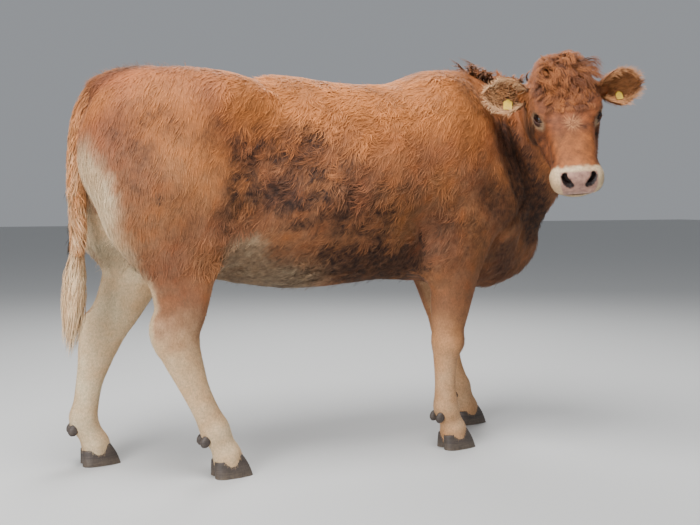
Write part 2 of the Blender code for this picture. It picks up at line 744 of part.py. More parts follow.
def fuse(core, pieces):
    """One Boolean union of a core with a collection of closed pieces."""
    group = bpy.data.collections.new("pieces")
    bpy.context.scene.collection.children.link(group)
    for piece in pieces:
        bpy.context.scene.collection.objects.unlink(piece)
        group.objects.link(piece)
    modifier = core.modifiers.new("fuse", "BOOLEAN")
    modifier.operation = "UNION"
    modifier.solver = "EXACT"
    modifier.operand_type = "COLLECTION"
    modifier.collection = group
    bake_modifiers(core)
    for piece in pieces:
        remove(piece)
    bpy.data.collections.remove(group)
    return tidy(core)


def grown_outline(outline, grow):
    """A convex outline with every edge moved outwards."""
    rows = np.asarray(outline, float)
    middle = rows.mean(0)
    count = len(rows)
    lines = []
    for i in range(count):
        a, b = rows[i], rows[(i + 1) % count]
        normal = np.array((b[1] - a[1], a[0] - b[0])) / np.linalg.norm(b - a)
        if normal @ (a - middle) < 0:
            normal = -normal
        lines.append((normal, normal @ a + grow))
    corners = []
    for before, after in zip(lines[-1:] + lines, lines):
        normals = np.array([before[0], after[0]])
        corners.append(np.linalg.solve(normals, np.array([before[1], after[1]])))
    return corners


def prism(outline, low, high, turn=None, origin=(0, 0, 0), grow=0.0, size=1.0):
    """A block with a convex outline in XZ and side faces at two Y, in a turned frame."""
    ring = grown_outline(outline, grow)
    n = len(ring)
    corners = np.array([(x, y, z) for y in (low - grow, high + grow) for x, z in ring]) * size
    if turn is not None:
        corners = corners @ np.array(turn).T
    faces = [tuple(range(n)), tuple(range(2 * n - 1, n - 1, -1))]
    faces += [(i, n + i, n + (i + 1) % n, (i + 1) % n) for i in range(n)]
    obj = mesh_object("block", corners + np.asarray(origin, float), faces)
    work = bmesh.new()
    work.from_mesh(obj.data)
    bmesh.ops.recalc_face_normals(work, faces=work.faces)
    work.to_mesh(obj.data)
    work.free()
    obj.hide_render = True
    obj.display_type = "WIRE"
    return obj


def take(body, name, material, **block):
    """Cuts a block's share of the body out into an object of its own, with a thin gap."""
    piece = bpy.data.objects.new(name, body.data.copy())
    bpy.context.scene.collection.objects.link(piece)
    inner, outer = prism(**block), prism(**block, grow=GAP)
    cut(piece, inner, "INTERSECT")
    cut(body, outer, "DIFFERENCE")
    remove(inner)
    remove(outer)
    piece.data.materials.clear()
    piece.data.materials.append(material)
    return tidy(piece)


def sphere(centre, radii, turn=None, rings=10, around=14, name="ball"):
    points, faces = [], []
    points.append((0, 0, 1))
    for i in range(1, rings):
        a = math.pi * i / rings
        for j in range(around):
            b = 2 * math.pi * j / around
            points.append((math.sin(a) * math.cos(b), math.sin(a) * math.sin(b), math.cos(a)))
    points.append((0, 0, -1))
    last = len(points) - 1
    for j in range(around):
        k = (j + 1) % around
        faces.append((0, 1 + j, 1 + k))
        for i in range(rings - 2):
            a, b = 1 + i * around, 1 + (i + 1) * around
            faces.append((a + j, b + j, b + k, a + k))
        a = 1 + (rings - 2) * around
        faces.append((a + j, last, a + k))
    points = np.array(points) * np.asarray(radii, float)
    if turn is not None:
        points = points @ np.array(turn).T
    return mesh_object(name, points + np.asarray(centre, float), faces)


def pipe(stations, around=12, cuts=2, name="pipe", level=(False, False)):
    """A closed tube along its stations. An end is a blunt cone, or a level face where the tube hangs."""
    run = catmull(stations, cuts)
    centre, radii = run[:, :3], run[:, 3:5]
    tangents = unit(np.gradient(centre, axis=0))
    for ring, is_level in ((0, level[0]), (-1, level[1])):
        if is_level:
            tangents[ring] = (0, 0, -1)
    points, faces = [], []
    for c, (w, d), t in zip(centre, radii, tangents):
        across = unit(np.array((0.0, 1.0, 0.0)) - t[1] * t)
        deep = np.cross(across, t)
        for j in range(around):
            a = 2 * math.pi * j / around
            points.append(c + across * w * math.cos(a) + deep * d * math.sin(a))
    for i in range(len(centre) - 1):
        for j in range(around):
            k = (j + 1) % around
            a, b = i * around, (i + 1) * around
            faces.append((a + j, a + k, b + k, b + j))
    for ring, sign in ((0, -1), (len(centre) - 1, 1)):
        if level[0 if sign < 0 else 1]:
            faces.append(tuple(range(ring * around, (ring + 1) * around)))
            continue
        tip = centre[ring] + sign * tangents[ring] * radii[ring].min() * 0.6
        points.append(tip)
        for j in range(around):
            k = (j + 1) % around
            a, b = ring * around + j, ring * around + k
            faces.append((a, len(points) - 1, b) if sign < 0 else (b, len(points) - 1, a))
    obj = mesh_object(name, points, faces)
    return tidy(obj)


def lock(path, width, thickness, flat, name="lock"):
    """A flat, tapered lock of hair along a path of points, with its broad face across flat."""
    path = np.asarray(path, float)
    tangents = unit(np.gradient(path, axis=0))
    share = np.linspace(0, 1, len(path))
    swell = np.sin(np.pi * (0.25 + 0.62 * share)) ** 0.8
    points, faces = [], []
    for c, t, s in zip(path[:-1], tangents, swell):
        across = unit(np.cross(flat, t))
        rise = np.cross(t, across)
        for dx, dz in ((-1, 0), (0, -0.5), (1, 0), (0, 0.5)):
            points.append(c + across * dx * width / 2 * s + rise * dz * thickness * max(s, 0.4))
    points.append(path[-1])
    rings = len(path) - 1
    for i in range(rings - 1):
        for j in range(4):
            a, b = i * 4 + j, i * 4 + (j + 1) % 4
            faces.append((a, b, b + 4, a + 4))
    last = (rings - 1) * 4
    for j in range(4):
        faces.append((last + j, last + (j + 1) % 4, rings * 4))
    faces.append((3, 2, 1, 0))
    obj = mesh_object(name, points, faces)
    return tidy(obj)


def slope_of(field, point, d=0.002):
    p = np.asarray(point, float)[None]
    f = field(p)
    g = np.array([(field(p + d * e) - f)[0] for e in np.eye(3)])
    return g / max(np.linalg.norm(g), 1e-9)


def on_surface(field, point):
    p = np.asarray(point, float)
    for _ in range(5):
        g = slope_of(field, p)
        p = p - g * field(p[None])[0]
    return p, g


# Materials


def paint(name, colour, roughness=0.8):
    material = bpy.data.materials.new(name)
    material.use_nodes = True
    shader = material.node_tree.nodes["Principled BSDF"]
    shader.inputs["Base Color"].default_value = (*colour, 1)
    shader.inputs["Roughness"].default_value = roughness
    shader.inputs["Metallic"].default_value = 0.0
    return material


# Parts


def make_head(material):
    """The head's own finer mesh, cut to its share of the body, and that share's block."""
    block = dict(
        outline=HEAD_CUT,
        low=HEAD_CUT_SIDES[0],
        high=HEAD_CUT_SIDES[1],
        turn=head_matrix(),
        origin=tuple(HEAD_ORIGIN),
        size=HEAD_SIZE,
    )
    ring = np.array(HEAD_CUT)
    middle = ring.mean(0)

    def near_head(points):
        q = (points - np.array(HEAD_ORIGIN)) @ np.array(head_matrix()) / HEAD_SIZE
        outside = np.maximum(HEAD_CUT_SIDES[0] - q[:, 1], q[:, 1] - HEAD_CUT_SIDES[1])
        for a, b in zip(ring, np.roll(ring, -1, 0)):
            normal = np.array((b[1] - a[1], a[0] - b[0])) / np.linalg.norm(b - a)
            normal *= np.sign(normal @ (a - middle))
            outside = np.maximum(outside, (q[:, [0, 2]] - a) @ normal)
        return np.maximum(flesh(points), outside - 0.012)

    reach = head_point((0.22, 0.0, -0.08))
    points, quads = surface_net(near_head, reach - HEAD_ROOM, reach + HEAD_ROOM, HEAD_STEP)
    obj = mesh_object("head", points, quads)
    tidy(obj)
    thin_out(obj, HEAD_TRIANGLES)
    inner = prism(**block)
    cut(obj, inner, "INTERSECT")
    remove(inner)
    tidy(obj)
    obj.data.materials.clear()
    obj.data.materials.append(material)
    return obj, block


def head_point(place):
    return np.array(HEAD_ORIGIN) + np.array(head_matrix()) @ np.asarray(place, float) * HEAD_SIZE


def ear_frame(side):
    """Axis, broad side and mouth of one ear, in the world."""
    turn = head_matrix()
    axis = (turn @ Vector(mirrored(EAR_AXIS, side))).normalized()
    mouth_way = turn @ Vector(mirrored(EAR_MOUTH, side))
    opening = (mouth_way - mouth_way.dot(axis) * axis).normalized()
    return np.array(axis), np.array(axis.cross(opening)), np.array(opening)


def ear_section(share):
    """Half width along the arc, and half angle, of an ear's section."""
    half = EAR_WIDTH * (0.98 + 0.42 * math.sin(math.pi * share**0.85)) * (1 - share**2.6) ** 0.62
    return half, math.radians(142 - 104 * share**0.5)


def ear_place(side, share, turn, depth):
    """A point of an ear's cup: share along it, turned round its section, depth in from its back."""
    axis, broad, opening = ear_frame(side)
    half, angle = ear_section(share)
    radius = half / angle
    spine = head_point(mirrored(EAR_ROOT, side)) + axis * (EAR_START + EAR_LENGTH * share)
    spine = spine + opening * EAR_CURVE * share**2
    r = radius - depth
    return spine + opening * (radius - r * math.cos(turn * angle)) + broad * r * math.sin(turn * angle)


def make_ear(name, side, material):
    axis, broad, opening = ear_frame(side)
    rings, across = 8, 7
    outer, inner = [], []
    for i in range(rings):
        share = 0.985 * i / (rings - 1)
        for layer, depth in ((outer, 0.0), (inner, EAR_THICK * (1 - 0.4 * share))):
            for j in range(across + 1):
                layer.append(ear_place(side, share, 2 * j / across - 1, depth))
    faces, n, m = [], across + 1, rings * (across + 1)
    for i in range(rings - 1):
        for j in range(across):
            a = i * n + j
            faces.append((a, a + 1, a + n + 1, a + n))
            faces.append((m + a, m + a + n, m + a + n + 1, m + a + 1))
        for j in (0, across):
            a = i * n + j
            faces.append((a, a + n, m + a + n, m + a))
    for j in range(across):
        for i in (0, rings - 1):
            a = i * n + j
            faces.append((a, m + a, m + a + 1, a + 1))
    shell = mesh_object(name, outer + inner, faces, material)
    tidy(shell)
    root = head_point(mirrored(EAR_ROOT, side)) + axis * 0.010 + opening * 0.020
    frame = np.stack([axis, opening, broad], 1)
    size = np.array(EAR_STUB)
    stub = sphere(root, size, frame, rings=7, around=9)
    socket = sphere(root, size + GAP, frame, rings=7, around=9, name="socket")
    fuse(shell, [stub])
    return shell, socket


def make_eye(name, side, material):
    place = head_point(mirrored(EYE, side))
    eye = sphere(place, (EYE_RADIUS,) * 3, rings=9, around=12, name=name)
    eye.data.materials.append(material)
    socket = sphere(place, (EYE_RADIUS + GAP,) * 3, rings=9, around=12, name="socket")
    return eye, socket


def hoof_frame(name):
    x, y, _, _, _ = leg_stations(name)[-2]
    return x, y


def coronet_height(x, x0):
    return CORONET + math.tan(math.radians(CORONET_SLOPE)) * (x - x0)


def make_claw(name, leg, which, material):
    """One claw: a horn wall that slopes back from its own toe, on a flat sole."""
    x0, y0 = hoof_frame(leg)
    around = 10
    points, faces = [], []
    for level, toe, half in CLAW_LEVELS:
        for i in range(around):
            a = 2 * math.pi * i / around
            x = x0 + math.cos(a) * (toe if math.cos(a) > 0 else CLAW_HEEL)
            out = half + half * math.sin(a) * (1 - 0.22 * math.cos(a))
            y = y0 + which * max(CLEFT, out)
            points.append((x, y, level * (coronet_height(x, x0) - GAP)))
    for i in range(len(CLAW_LEVELS) - 1):
        for j in range(around):
            k = (j + 1) % around
            faces.append((i * around + j, i * around + k, (i + 1) * around + k, (i + 1) * around + j))
    faces.append(tuple(range(around)))
    last = (len(CLAW_LEVELS) - 1) * around
    faces.append(tuple(range(last, last + around)))
    return tidy(mesh_object(name, points, faces, material))


def make_dewclaw(name, leg, which, material):
    """A small horn cone behind the fetlock, with the socket that it sits in."""
    stations = leg_stations(leg)
    x, y, z, w, d = next(s for s in stations if s[2] < FETLOCK_BELOW)
    centre = np.array((x - d * 0.80 + 0.004, y + which * DEWCLAW_OUT, z - DEWCLAW_DROP))
    turn = about_y(DEWCLAW_TILT)
    size = np.array(DEWCLAW_SIZE)
    horn = sphere(centre, size, turn, rings=4, around=6, name=name)
    horn.data.materials.append(material)
    socket = sphere(centre, size + GAP * 1.3, turn, rings=4, around=6, name="socket")
    return horn, socket


def make_tail(material):
    """The dock with overlapping locks combed down and back along it, and its socket in the rump."""
    dock = pipe(TAIL, around=10, cuts=2, name="tail", level=(False, True))
    dock.data.materials.append(material)
    room = [(x, y, z, w + r, d + r) for (x, y, z, w, d), r in zip(TAIL, TAIL_ROOM)]
    socket = pipe(room, around=10, cuts=2, name="socket")
    dice = random.Random(11)
    pieces = []
    run = catmull(TAIL, 3)
    for row, i in enumerate(range(9, len(run) - 3, 2)):
        x, y, z, w, d = run[i]
        along = unit(run[i + 2][:3] - run[i - 2][:3])
        for turn in TAIL_LOCK_TURNS[row % 2]:
            a = math.radians(turn + dice.uniform(-8, 8))
            out = np.array((-math.cos(a), math.sin(a), 0))
            out = unit(out - (out @ along) * along)
            root = np.array((x, y, z)) + out * (d * 0.93)
            long = min(0.082 + 0.02 * dice.random(), z - TAIL[-1][2] - 0.006)
            path = [root + along * long * t + out * lift for t, lift in TAIL_LOCK_RISE]
            pieces.append(lock(path, *TAIL_LOCK, out))
    return fuse(dock, pieces), socket


def make_switch(material):
    """The tuft on the tail's end: long wavy locks round a slim core."""
    dice = random.Random(5)
    top = TAIL[-1]
    z0 = top[2] - GAP
    stations = [(top[0] + back, 0, z0 + down, w, d) for back, down, w, d in SWITCH]
    core = pipe(stations, around=9, cuts=1, name="tail_switch", level=(True, False))
    core.data.materials.append(material)
    pieces = []
    for ring, count in ((0, 6), (1, 5)):
        for i in range(count):
            a = 2 * math.pi * (i + 0.5 * ring + 0.25 * dice.random()) / count
            out = np.array((math.cos(a), math.sin(a) * 0.8, 0))
            begin = np.array((top[0], 0, z0 - 0.030 - 0.075 * ring))
            long = SWITCH_LENGTH + 0.03 * dice.random() - 0.055 * ring
            path = []
            for t in (0, 0.22, 0.48, 0.74, 1.0):
                wave = 0.005 * math.sin(7 * t + 2 * i)
                wide = 0.008 + 0.036 * math.sin(math.pi * min(1, 0.12 + 0.80 * t)) ** 0.8 * (1 - 0.35 * t)
                drift = np.array((-0.046 * t * t - 0.002, 0, -long * t))
                path.append(begin + out * (wide + wave * t) + drift)
            pieces.append(lock(path, *SWITCH_LOCK, out))
    return fuse(core, pieces)


def make_tag(name, side, material, plate):
    """A plain plastic ear tag: a plate in the cup, a pin through the ear and a button behind it."""
    axis, broad, _ = ear_frame(side)
    low = 1 if broad[2] < 0 else -1
    turn = low * TAG_TURN / math.degrees(ear_section(TAG_SHARE)[1])
    back = ear_place(side, TAG_SHARE, turn, 0.0)
    inward = unit(ear_place(side, TAG_SHARE, turn, 0.01) - back)
    down = unit(np.cross(axis, inward)) * -low
    down = down if down[2] < 0 else -down
    frame = np.stack([axis, down, inward], 1)
    wide, tall = plate
    offset = np.array((0, tall * 0.24, TAG_STAND_OFF))
    points = []
    for t in (-TAG_THICK / 2, TAG_THICK / 2):
        points += [np.array((a * wide, b * tall, t)) + offset for a, b in TAG_OUTLINE]
    n = len(TAG_OUTLINE)
    faces = [tuple(range(n)), tuple(range(n, 2 * n))]
    faces += [(j, (j + 1) % n, n + (j + 1) % n, n + j) for j in range(n)]
    obj = mesh_object(name, np.array(points) @ frame.T + back, faces, material)
    tidy(obj)

    def rod(radius, low_end, high_end):
        ring = [(radius * math.cos(a), radius * math.sin(a)) for a in np.arange(8) * math.pi / 4]
        rows = np.array([(x, y, t) for t in (low_end, high_end) for x, y in ring])
        ends = [tuple(range(8)), tuple(range(8, 16))]
        sides = [(j, (j + 1) % 8, 8 + (j + 1) % 8, 8 + j) for j in range(8)]
        return tidy(mesh_object("rod", rows @ frame.T + back, ends + sides))

    hole = rod(TAG_PIN + GAP, -0.02, 0.02)
    fuse(obj, [rod(TAG_PIN, -0.0045, TAG_STAND_OFF), rod(TAG_BUTTON, -0.0065, -0.0035)])
    return obj, hole


def hair_row(spots, field, seed):
    """Locks set on the skin. A spot gives place, way, length, width and lift."""
    dice = random.Random(seed)
    made = []
    for place, way, long, wide, lift in spots:
        p, normal = on_surface(field, place)
        way = np.asarray(way, float)
        lie = unit(way - (way @ normal) * normal)
        side = np.cross(normal, lie)
        sway = 0.20 * (dice.random() - 0.5)
        path = []
        for t in (-0.16, 0.20, 0.52, 0.80, 1.0):
            rise = lift * math.sin(min(1.0, max(0, t) * 1.1) * math.pi * 0.66) * long
            sunk = -0.012 if t < 0 else 0.0
            path.append(p + lie * long * t + normal * (rise + sunk) + side * sway * long * t * t)
        made.append(lock(path, wide, wide * LOCK_THICK, normal))
    return made


def forelock_spots():
    """The mop on the poll: rows that fall forward over the brow and out to both sides."""
    dice = random.Random(3)
    turn = np.array(head_matrix())
    spots = []
    for x, z, count, long, lift in FORELOCK_ROWS:
        for i in range(count):
            y = (i / (count - 1) - 0.5) * MOP_WIDTH
            place = head_point((x + 0.014 * dice.random(), y, z))
            way = turn @ np.array((0.80 + 0.4 * dice.random(), 8 * y + 0.9 * (dice.random() - 0.5), 0.4))
            length = long * (0.80 + 0.35 * dice.random())
            spots.append((place, way, length, LOCK_WIDE, lift * (0.7 + 0.6 * dice.random())))
    return spots


def crest_spots():
    """Mussed hair along the crest, standing up and falling to both sides."""
    dice = random.Random(8)
    spots = []
    for i in range(8):
        share = i / 7
        for side in (-1, 1):
            place = (0.478 + 0.142 * share, -0.055 * share**2 + side * 0.018, WITHERS + 0.02)
            way = (0.5 - 0.7 * dice.random(), side * (0.5 + 0.7 * dice.random()), 0.3)
            spots.append((place, way, 0.052 + 0.018 * dice.random(), LOCK_WIDE, 0.36))
    return spots


def place_all():
    """Gives every object its own origin and a place under one empty, on the floor and centred."""
    bpy.context.view_layer.update()
    boxes = {}
    for obj in list(bpy.data.objects):
        rows = np.array([tuple(v.co) for v in obj.data.vertices])
        boxes[obj] = (rows.min(0), rows.max(0))
    low = np.min([box[0] for box in boxes.values()], axis=0)
    high = np.max([box[1] for box in boxes.values()], axis=0)
    floor = np.array(((low[0] + high[0]) / 2, (low[1] + high[1]) / 2, low[2]))
    stand = bpy.data.objects.new("cow", None)
    bpy.context.scene.collection.objects.link(stand)
    for obj, (near, far) in boxes.items():
        middle = (near + far) / 2
        obj.data.transform(Matrix.Translation(Vector(-middle)))
        obj.location = Vector(middle - floor)
        obj.parent = stand
        obj.data.shade_smooth()
        obj.data.set_sharp_from_angle(angle=math.radians(SMOOTH_BELOW))


def main():
    for obj in list(bpy.data.objects):
        bpy.data.objects.remove(obj)
    coat = paint("coat", (0.42, 0.17, 0.07))
    pale = paint("pale_coat", (0.62, 0.42, 0.27))
    horn = paint("horn", (0.10, 0.08, 0.07), 0.45)
    glass = paint("eye", (0.02, 0.015, 0.012), 0.08)
    plastic = paint("tag", (0.80, 0.62, 0.08), 0.45)

    points, quads = surface_net(flesh, *BODY_ROOM, BODY_STEP)
    torso = mesh_object("torso", points, quads, coat)
    tidy(torso)
    thin_out(torso, BODY_TRIANGLES)

    head_obj, block = make_head(coat)
    outer = prism(**block, grow=GAP)
    cut(torso, outer, "DIFFERENCE")
    remove(outer)
    tidy(torso)

    for name in STRIDES:
        side = -1 if name.endswith("right") else 1
        x0, _ = hoof_frame(name)
        split = KNEE_SPLIT if name.startswith("front") else HOCK_SPLIT
        wide = (LEG_INNER[name], CUT_WIDE) if side > 0 else (-CUT_WIDE, -LEG_INNER[name])
        leg = take(torso, "leg_" + name, coat, outline=LEG_CUTS[name], low=wide[0], high=wide[1])
        front, rear = x0 + CUT_WIDE / 2, x0 - CUT_WIDE / 2
        tops = [(x, coronet_height(x, x0)) for x in (front, rear)]
        floor = prism([(rear, -0.2), (front, -0.2), *tops], -CUT_WIDE, CUT_WIDE)
        cut(leg, floor, "DIFFERENCE")
        remove(floor)
        tidy(leg)
        shank = [(-CUT_LONG, 0.0), (CUT_LONG, 0.0), (CUT_LONG, split), (-CUT_LONG, split)]
        shin = take(leg, "shank_" + name, pale, outline=shank, low=-CUT_WIDE, high=CUT_WIDE)
        tidy(leg)
        for n, which in (("inner", -side), ("outer", side)):
            make_claw(f"claw_{name}_{n}", name, which, horn)
            _, socket = make_dewclaw(f"dewclaw_{name}_{n}", name, which, horn)
            cut(shin, socket, "DIFFERENCE")
            remove(socket)
        tidy(shin)
    neck = take(torso, "neck", coat, outline=NECK_CUT, low=-CUT_WIDE, high=CUT_WIDE)
    tidy(torso)

    _, socket = make_tail(coat)
    cut(torso, socket, "DIFFERENCE")
    remove(socket)
    tidy(torso)
    make_switch(pale)

    for side, name in ((-1, "right"), (1, "left")):
        _, socket = make_eye("eye_" + name, side, glass)
        cut(head_obj, socket, "DIFFERENCE")
        remove(socket)
        ear, socket = make_ear("ear_" + name, side, coat)
        cut(head_obj, socket, "DIFFERENCE")
        cut(neck, socket, "DIFFERENCE")
        remove(socket)
        _, hole = make_tag("tag_" + name, side, plastic, TAG_PLATES[name])
        cut(ear, hole, "DIFFERENCE")
        remove(hole)
        tidy(ear)
    tidy(head_obj)
    tidy(neck)
    fuse(head_obj, hair_row(forelock_spots(), flesh, 4))
    fuse(neck, hair_row(crest_spots(), flesh, 9))
    place_all()


main()
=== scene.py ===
"""Looks of the cow of the photo, with its coat, in the frame of its solids.

The skin comes from the same field as the solids, cut in by the depth of the coat.
Places are in the photo's frame, which SHIFT moves onto the solids.
"""

import math

import bmesh
import bpy
import numpy as np
from mathutils import Matrix, Vector


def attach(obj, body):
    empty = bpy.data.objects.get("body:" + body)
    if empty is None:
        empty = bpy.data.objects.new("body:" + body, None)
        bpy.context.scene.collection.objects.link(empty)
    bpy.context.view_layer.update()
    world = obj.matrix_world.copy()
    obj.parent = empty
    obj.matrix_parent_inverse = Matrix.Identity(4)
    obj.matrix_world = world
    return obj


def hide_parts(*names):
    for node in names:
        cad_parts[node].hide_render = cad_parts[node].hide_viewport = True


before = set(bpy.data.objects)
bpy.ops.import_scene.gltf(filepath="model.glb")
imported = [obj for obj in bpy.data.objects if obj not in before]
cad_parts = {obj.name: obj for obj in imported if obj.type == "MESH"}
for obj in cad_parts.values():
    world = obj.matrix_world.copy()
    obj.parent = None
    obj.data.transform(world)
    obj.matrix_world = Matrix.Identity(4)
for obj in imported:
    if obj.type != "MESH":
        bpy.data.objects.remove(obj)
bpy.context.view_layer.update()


GAP = 0.0003
BATCH = 60000
FAR = 0.30

THINNEST = 0.004
NEARBY = 0.16

# Driving heights of the animal
WITHERS = 1.352
LOIN = 1.292
RUMP = 1.314
CHEST_FLOOR = 0.585
CORONET = 0.060
CORONET_SLOPE = 12.0

# The trunk: x, top, floor, half width
TRUNK = [
    (-0.74, RUMP - 0.014, 0.86, 0.175),
    (-0.66, RUMP - 0.004, 0.80, 0.215),
    (-0.54, RUMP, 0.71, 0.245),
    (-0.40, RUMP - 0.002, 0.615, 0.272),
    (-0.24, RUMP - 0.010, CHEST_FLOOR - 0.003, 0.298),
    (-0.08, LOIN, CHEST_FLOOR + 0.003, 0.308),
    (0.08, LOIN, CHEST_FLOOR + 0.015, 0.300),
    (0.22, LOIN + 0.020, CHEST_FLOOR + 0.005, 0.272),
    (0.34, WITHERS - 0.014, CHEST_FLOOR - 0.010, 0.232),
    (0.44, WITHERS, CHEST_FLOOR - 0.020, 0.205),
]

# Masses of flesh: centre, half sizes, tilt, share of the stride's lean and softness of the join
HIND_MASSES = [
    ((-0.65, 0.105, 1.045), (0.250, 0.155, 0.246), 0, 0.0, 0.0),
    ((-0.79, 0.115, 0.98), (0.122, 0.115, 0.235), -6, 0.4, 0.06),
    ((-0.66, 0.165, 0.86), (0.205, 0.118, 0.225), 10, 1.0, 0.09),
    ((-0.470, 0.180, 1.190), (0.090, 0.060, 0.065), 0, 0.0, 0.14),
]
SHOULDER_MASSES = [
    ((0.335, 0.135, 1.03), (0.165, 0.118, 0.285), -14, 0.0, 0.0),
    ((0.515, 0.150, 0.86), (0.105, 0.078, 0.125), 0, 0.0, 0.08),
    ((0.235, 0.188, 0.690), (0.055, 0.050, 0.075), 0, 0.0, 0.06),
]
LEAN_SHARE = 0.18
# Brisket, then belly behind the navel and the tail head: centre, half sizes and softness
BRISKET = ((0.560, 0, 0.745), (0.180, 0.130, 0.170), 0.08)
UNDER_MASSES = [
    ((-0.45, 0, 0.700), (0.120, 0.100, 0.062), 0.06),
    ((-0.790, 0, 1.230), (0.110, 0.065, 0.055), 0.06),
]
# Hollows of both sides: the flank and the groove behind the elbow
HOLLOWS = [
    ((-0.330, 0.345, 1.080), (0.120, 0.050, 0.110), 0.14),
    ((0.165, 0.300, 0.690), (0.045, 0.030, 0.110), 0.08),
]
# How softly the parts of the body run into one another
SOFT_HIND = 0.10
SOFT_SHOULDER = 0.085
SOFT_NECK = 0.10
SOFT_SKIN = 0.045
SOFT_THIGH = 0.055
# Point of the hock, the cord above it and the bulge of the knee
HOCK_BELOW = 0.50
HOCK_POINT = (-0.064, 0.0, 0.002)
HOCK_SIZE = (0.024, 0.024, 0.046)
CORD_SPAN = (0.42, 0.66)
CORD_BACK = 0.82
CORD_RADIUS = 0.018
KNEE_BELOW = 0.39
KNEE_POINT = (0.012, 0.0, 0.0)
KNEE_SIZE = (0.050, 0.050, 0.046)

# Neck and legs: x, y, z, half width across, half depth
NECK = [
    (0.36, 0.000, 0.985, 0.200, 0.345),
    (0.50, 0.000, 1.015, 0.172, 0.325),
    (0.61, -0.022, 1.060, 0.150, 0.295),
    (0.685, -0.068, 1.115, 0.132, 0.240),
    (0.722, -0.138, 1.175, 0.116, 0.185),
    (0.712, -0.215, 1.232, 0.102, 0.145),
]
DEWLAP = [
    (0.735, -0.190, 1.050, 0.028, 0.045),
    (0.712, -0.160, 0.940, 0.028, 0.045),
    (0.700, -0.110, 0.850, 0.032, 0.044),
    (0.708, -0.055, 0.780, 0.038, 0.046),
    (0.728, -0.020, 0.715, 0.046, 0.050),
    (0.695, 0.000, 0.660, 0.056, 0.052),
    (0.640, 0.000, 0.634, 0.060, 0.050),
    (0.560, 0.000, 0.612, 0.062, 0.048),
]
FORELEG = [
    (0.335, 0.185, 0.800, 0.075, 0.145),
    (0.318, 0.190, 0.690, 0.074, 0.118),
    (0.312, 0.186, 0.590, 0.066, 0.092),
    (0.306, 0.178, 0.500, 0.057, 0.075),
    (0.302, 0.172, 0.435, 0.050, 0.063),
    (0.299, 0.168, 0.385, 0.053, 0.058),
    (0.297, 0.165, 0.335, 0.043, 0.048),
    (0.298, 0.161, 0.250, 0.036, 0.041),
    (0.302, 0.157, 0.190, 0.039, 0.044),
    (0.307, 0.154, 0.150, 0.046, 0.050),
    (0.324, 0.152, 0.104, 0.041, 0.043),
    (0.336, 0.151, 0.070, 0.050, 0.050),
    (0.342, 0.151, 0.035, 0.048, 0.048),
]
HINDLEG = [
    (-0.640, 0.165, 0.900, 0.100, 0.205),
    (-0.650, 0.172, 0.790, 0.095, 0.165),
    (-0.652, 0.178, 0.700, 0.082, 0.128),
    (-0.646, 0.180, 0.620, 0.066, 0.102),
    (-0.648, 0.178, 0.550, 0.056, 0.084),
    (-0.662, 0.176, 0.485, 0.050, 0.075),
    (-0.657, 0.174, 0.425, 0.046, 0.069),
    (-0.634, 0.171, 0.360, 0.040, 0.058),
    (-0.602, 0.167, 0.280, 0.035, 0.047),
    (-0.567, 0.163, 0.205, 0.038, 0.045),
    (-0.543, 0.160, 0.155, 0.047, 0.051),
    (-0.520, 0.158, 0.106, 0.041, 0.044),
    (-0.504, 0.157, 0.070, 0.050, 0.050),
    (-0.498, 0.157, 0.035, 0.048, 0.048),
]
# How far each leg is carried forward at the foot, from the place where it leaves the body
STEP_TOP = 0.86
STEP_FOOT = 0.15
DROP_AT = 0.44
DROP_SPREAD = 0.12
STRIDES = {"front_right": 0.0, "front_left": 0.235, "hind_right": 0.0, "hind_left": -0.365}
SWING_BEND = {"front": 0.60, "hind": 1.30}
HOCK_DROP = {"hind_left": 0.030}

# The head turns right, nods and leans. Its own frame has X from poll to nose and Z out of the brow
HEAD_ORIGIN = Vector((0.645, -0.338, 1.363))
HEAD_HEADING = -111.8
HEAD_NOD = 55.0
HEAD_LEAN = 7.0
HEAD_SIZE = 1.02
FACE = [
    (-0.010, 0.0, -0.088, 0.076, 0.058),
    (0.045, 0.0, -0.080, 0.104, 0.070),
    (0.115, 0.0, -0.076, 0.120, 0.077),
    (0.190, 0.0, -0.076, 0.111, 0.076),
    (0.255, 0.0, -0.073, 0.096, 0.067),
    (0.325, 0.0, -0.072, 0.084, 0.057),
    (0.385, 0.0, -0.073, 0.077, 0.051),
    (0.425, 0.0, -0.077, 0.080, 0.046),
]
JAW = [
    (0.055, 0.0, -0.155, 0.088, 0.058),
    (0.115, 0.0, -0.160, 0.094, 0.060),
    (0.190, 0.0, -0.152, 0.084, 0.055),
    (0.270, 0.0, -0.134, 0.068, 0.044),
    (0.340, 0.0, -0.120, 0.058, 0.034),
    (0.405, 0.0, -0.117, 0.056, 0.027),
    (0.432, 0.0, -0.116, 0.056, 0.024),
]
EYE = Vector((0.203, 0.0880, -0.053))
EYE_GAZE = Vector((0.20, 0.69, 0.69))
EYE_SLIT = Vector((0.75, -0.45, 0.20))
EYE_RADIUS = 0.0200
MUZZLE = Vector((0.425, 0.0, -0.078))
HEAD_MIDDLE = (0.22, 0, -0.09)
HEAD_REACH = 0.46
# Poll, muzzle and chin. Then jaw, cheekbone, brow and nostril wing of each side, and its hollow
HEAD_MASSES = [
    ((0.010, 0, -0.060), (0.060, 0.078, 0.040), 0.06),
    (MUZZLE, (0.046, 0.077, 0.048), 0.035),
    ((0.420, 0, -0.126), (0.046, 0.056, 0.025), 0.020),
]
CHEEK_MASSES = [
    ((0.125, 0.078, -0.150), (0.095, 0.038, 0.070), 0.04),
    ((0.245, 0.076, -0.100), (0.080, 0.020, 0.022), 0.04),
    ((0.178, 0.082, -0.036), (0.046, 0.028, 0.026), 0.035),
    ((0.450, 0.046, -0.084), (0.027, 0.031, 0.036), 0.020),
]
CHEEK_HOLLOW = ((0.300, 0.103, -0.060), (0.070, 0.020, 0.030), 0.04)
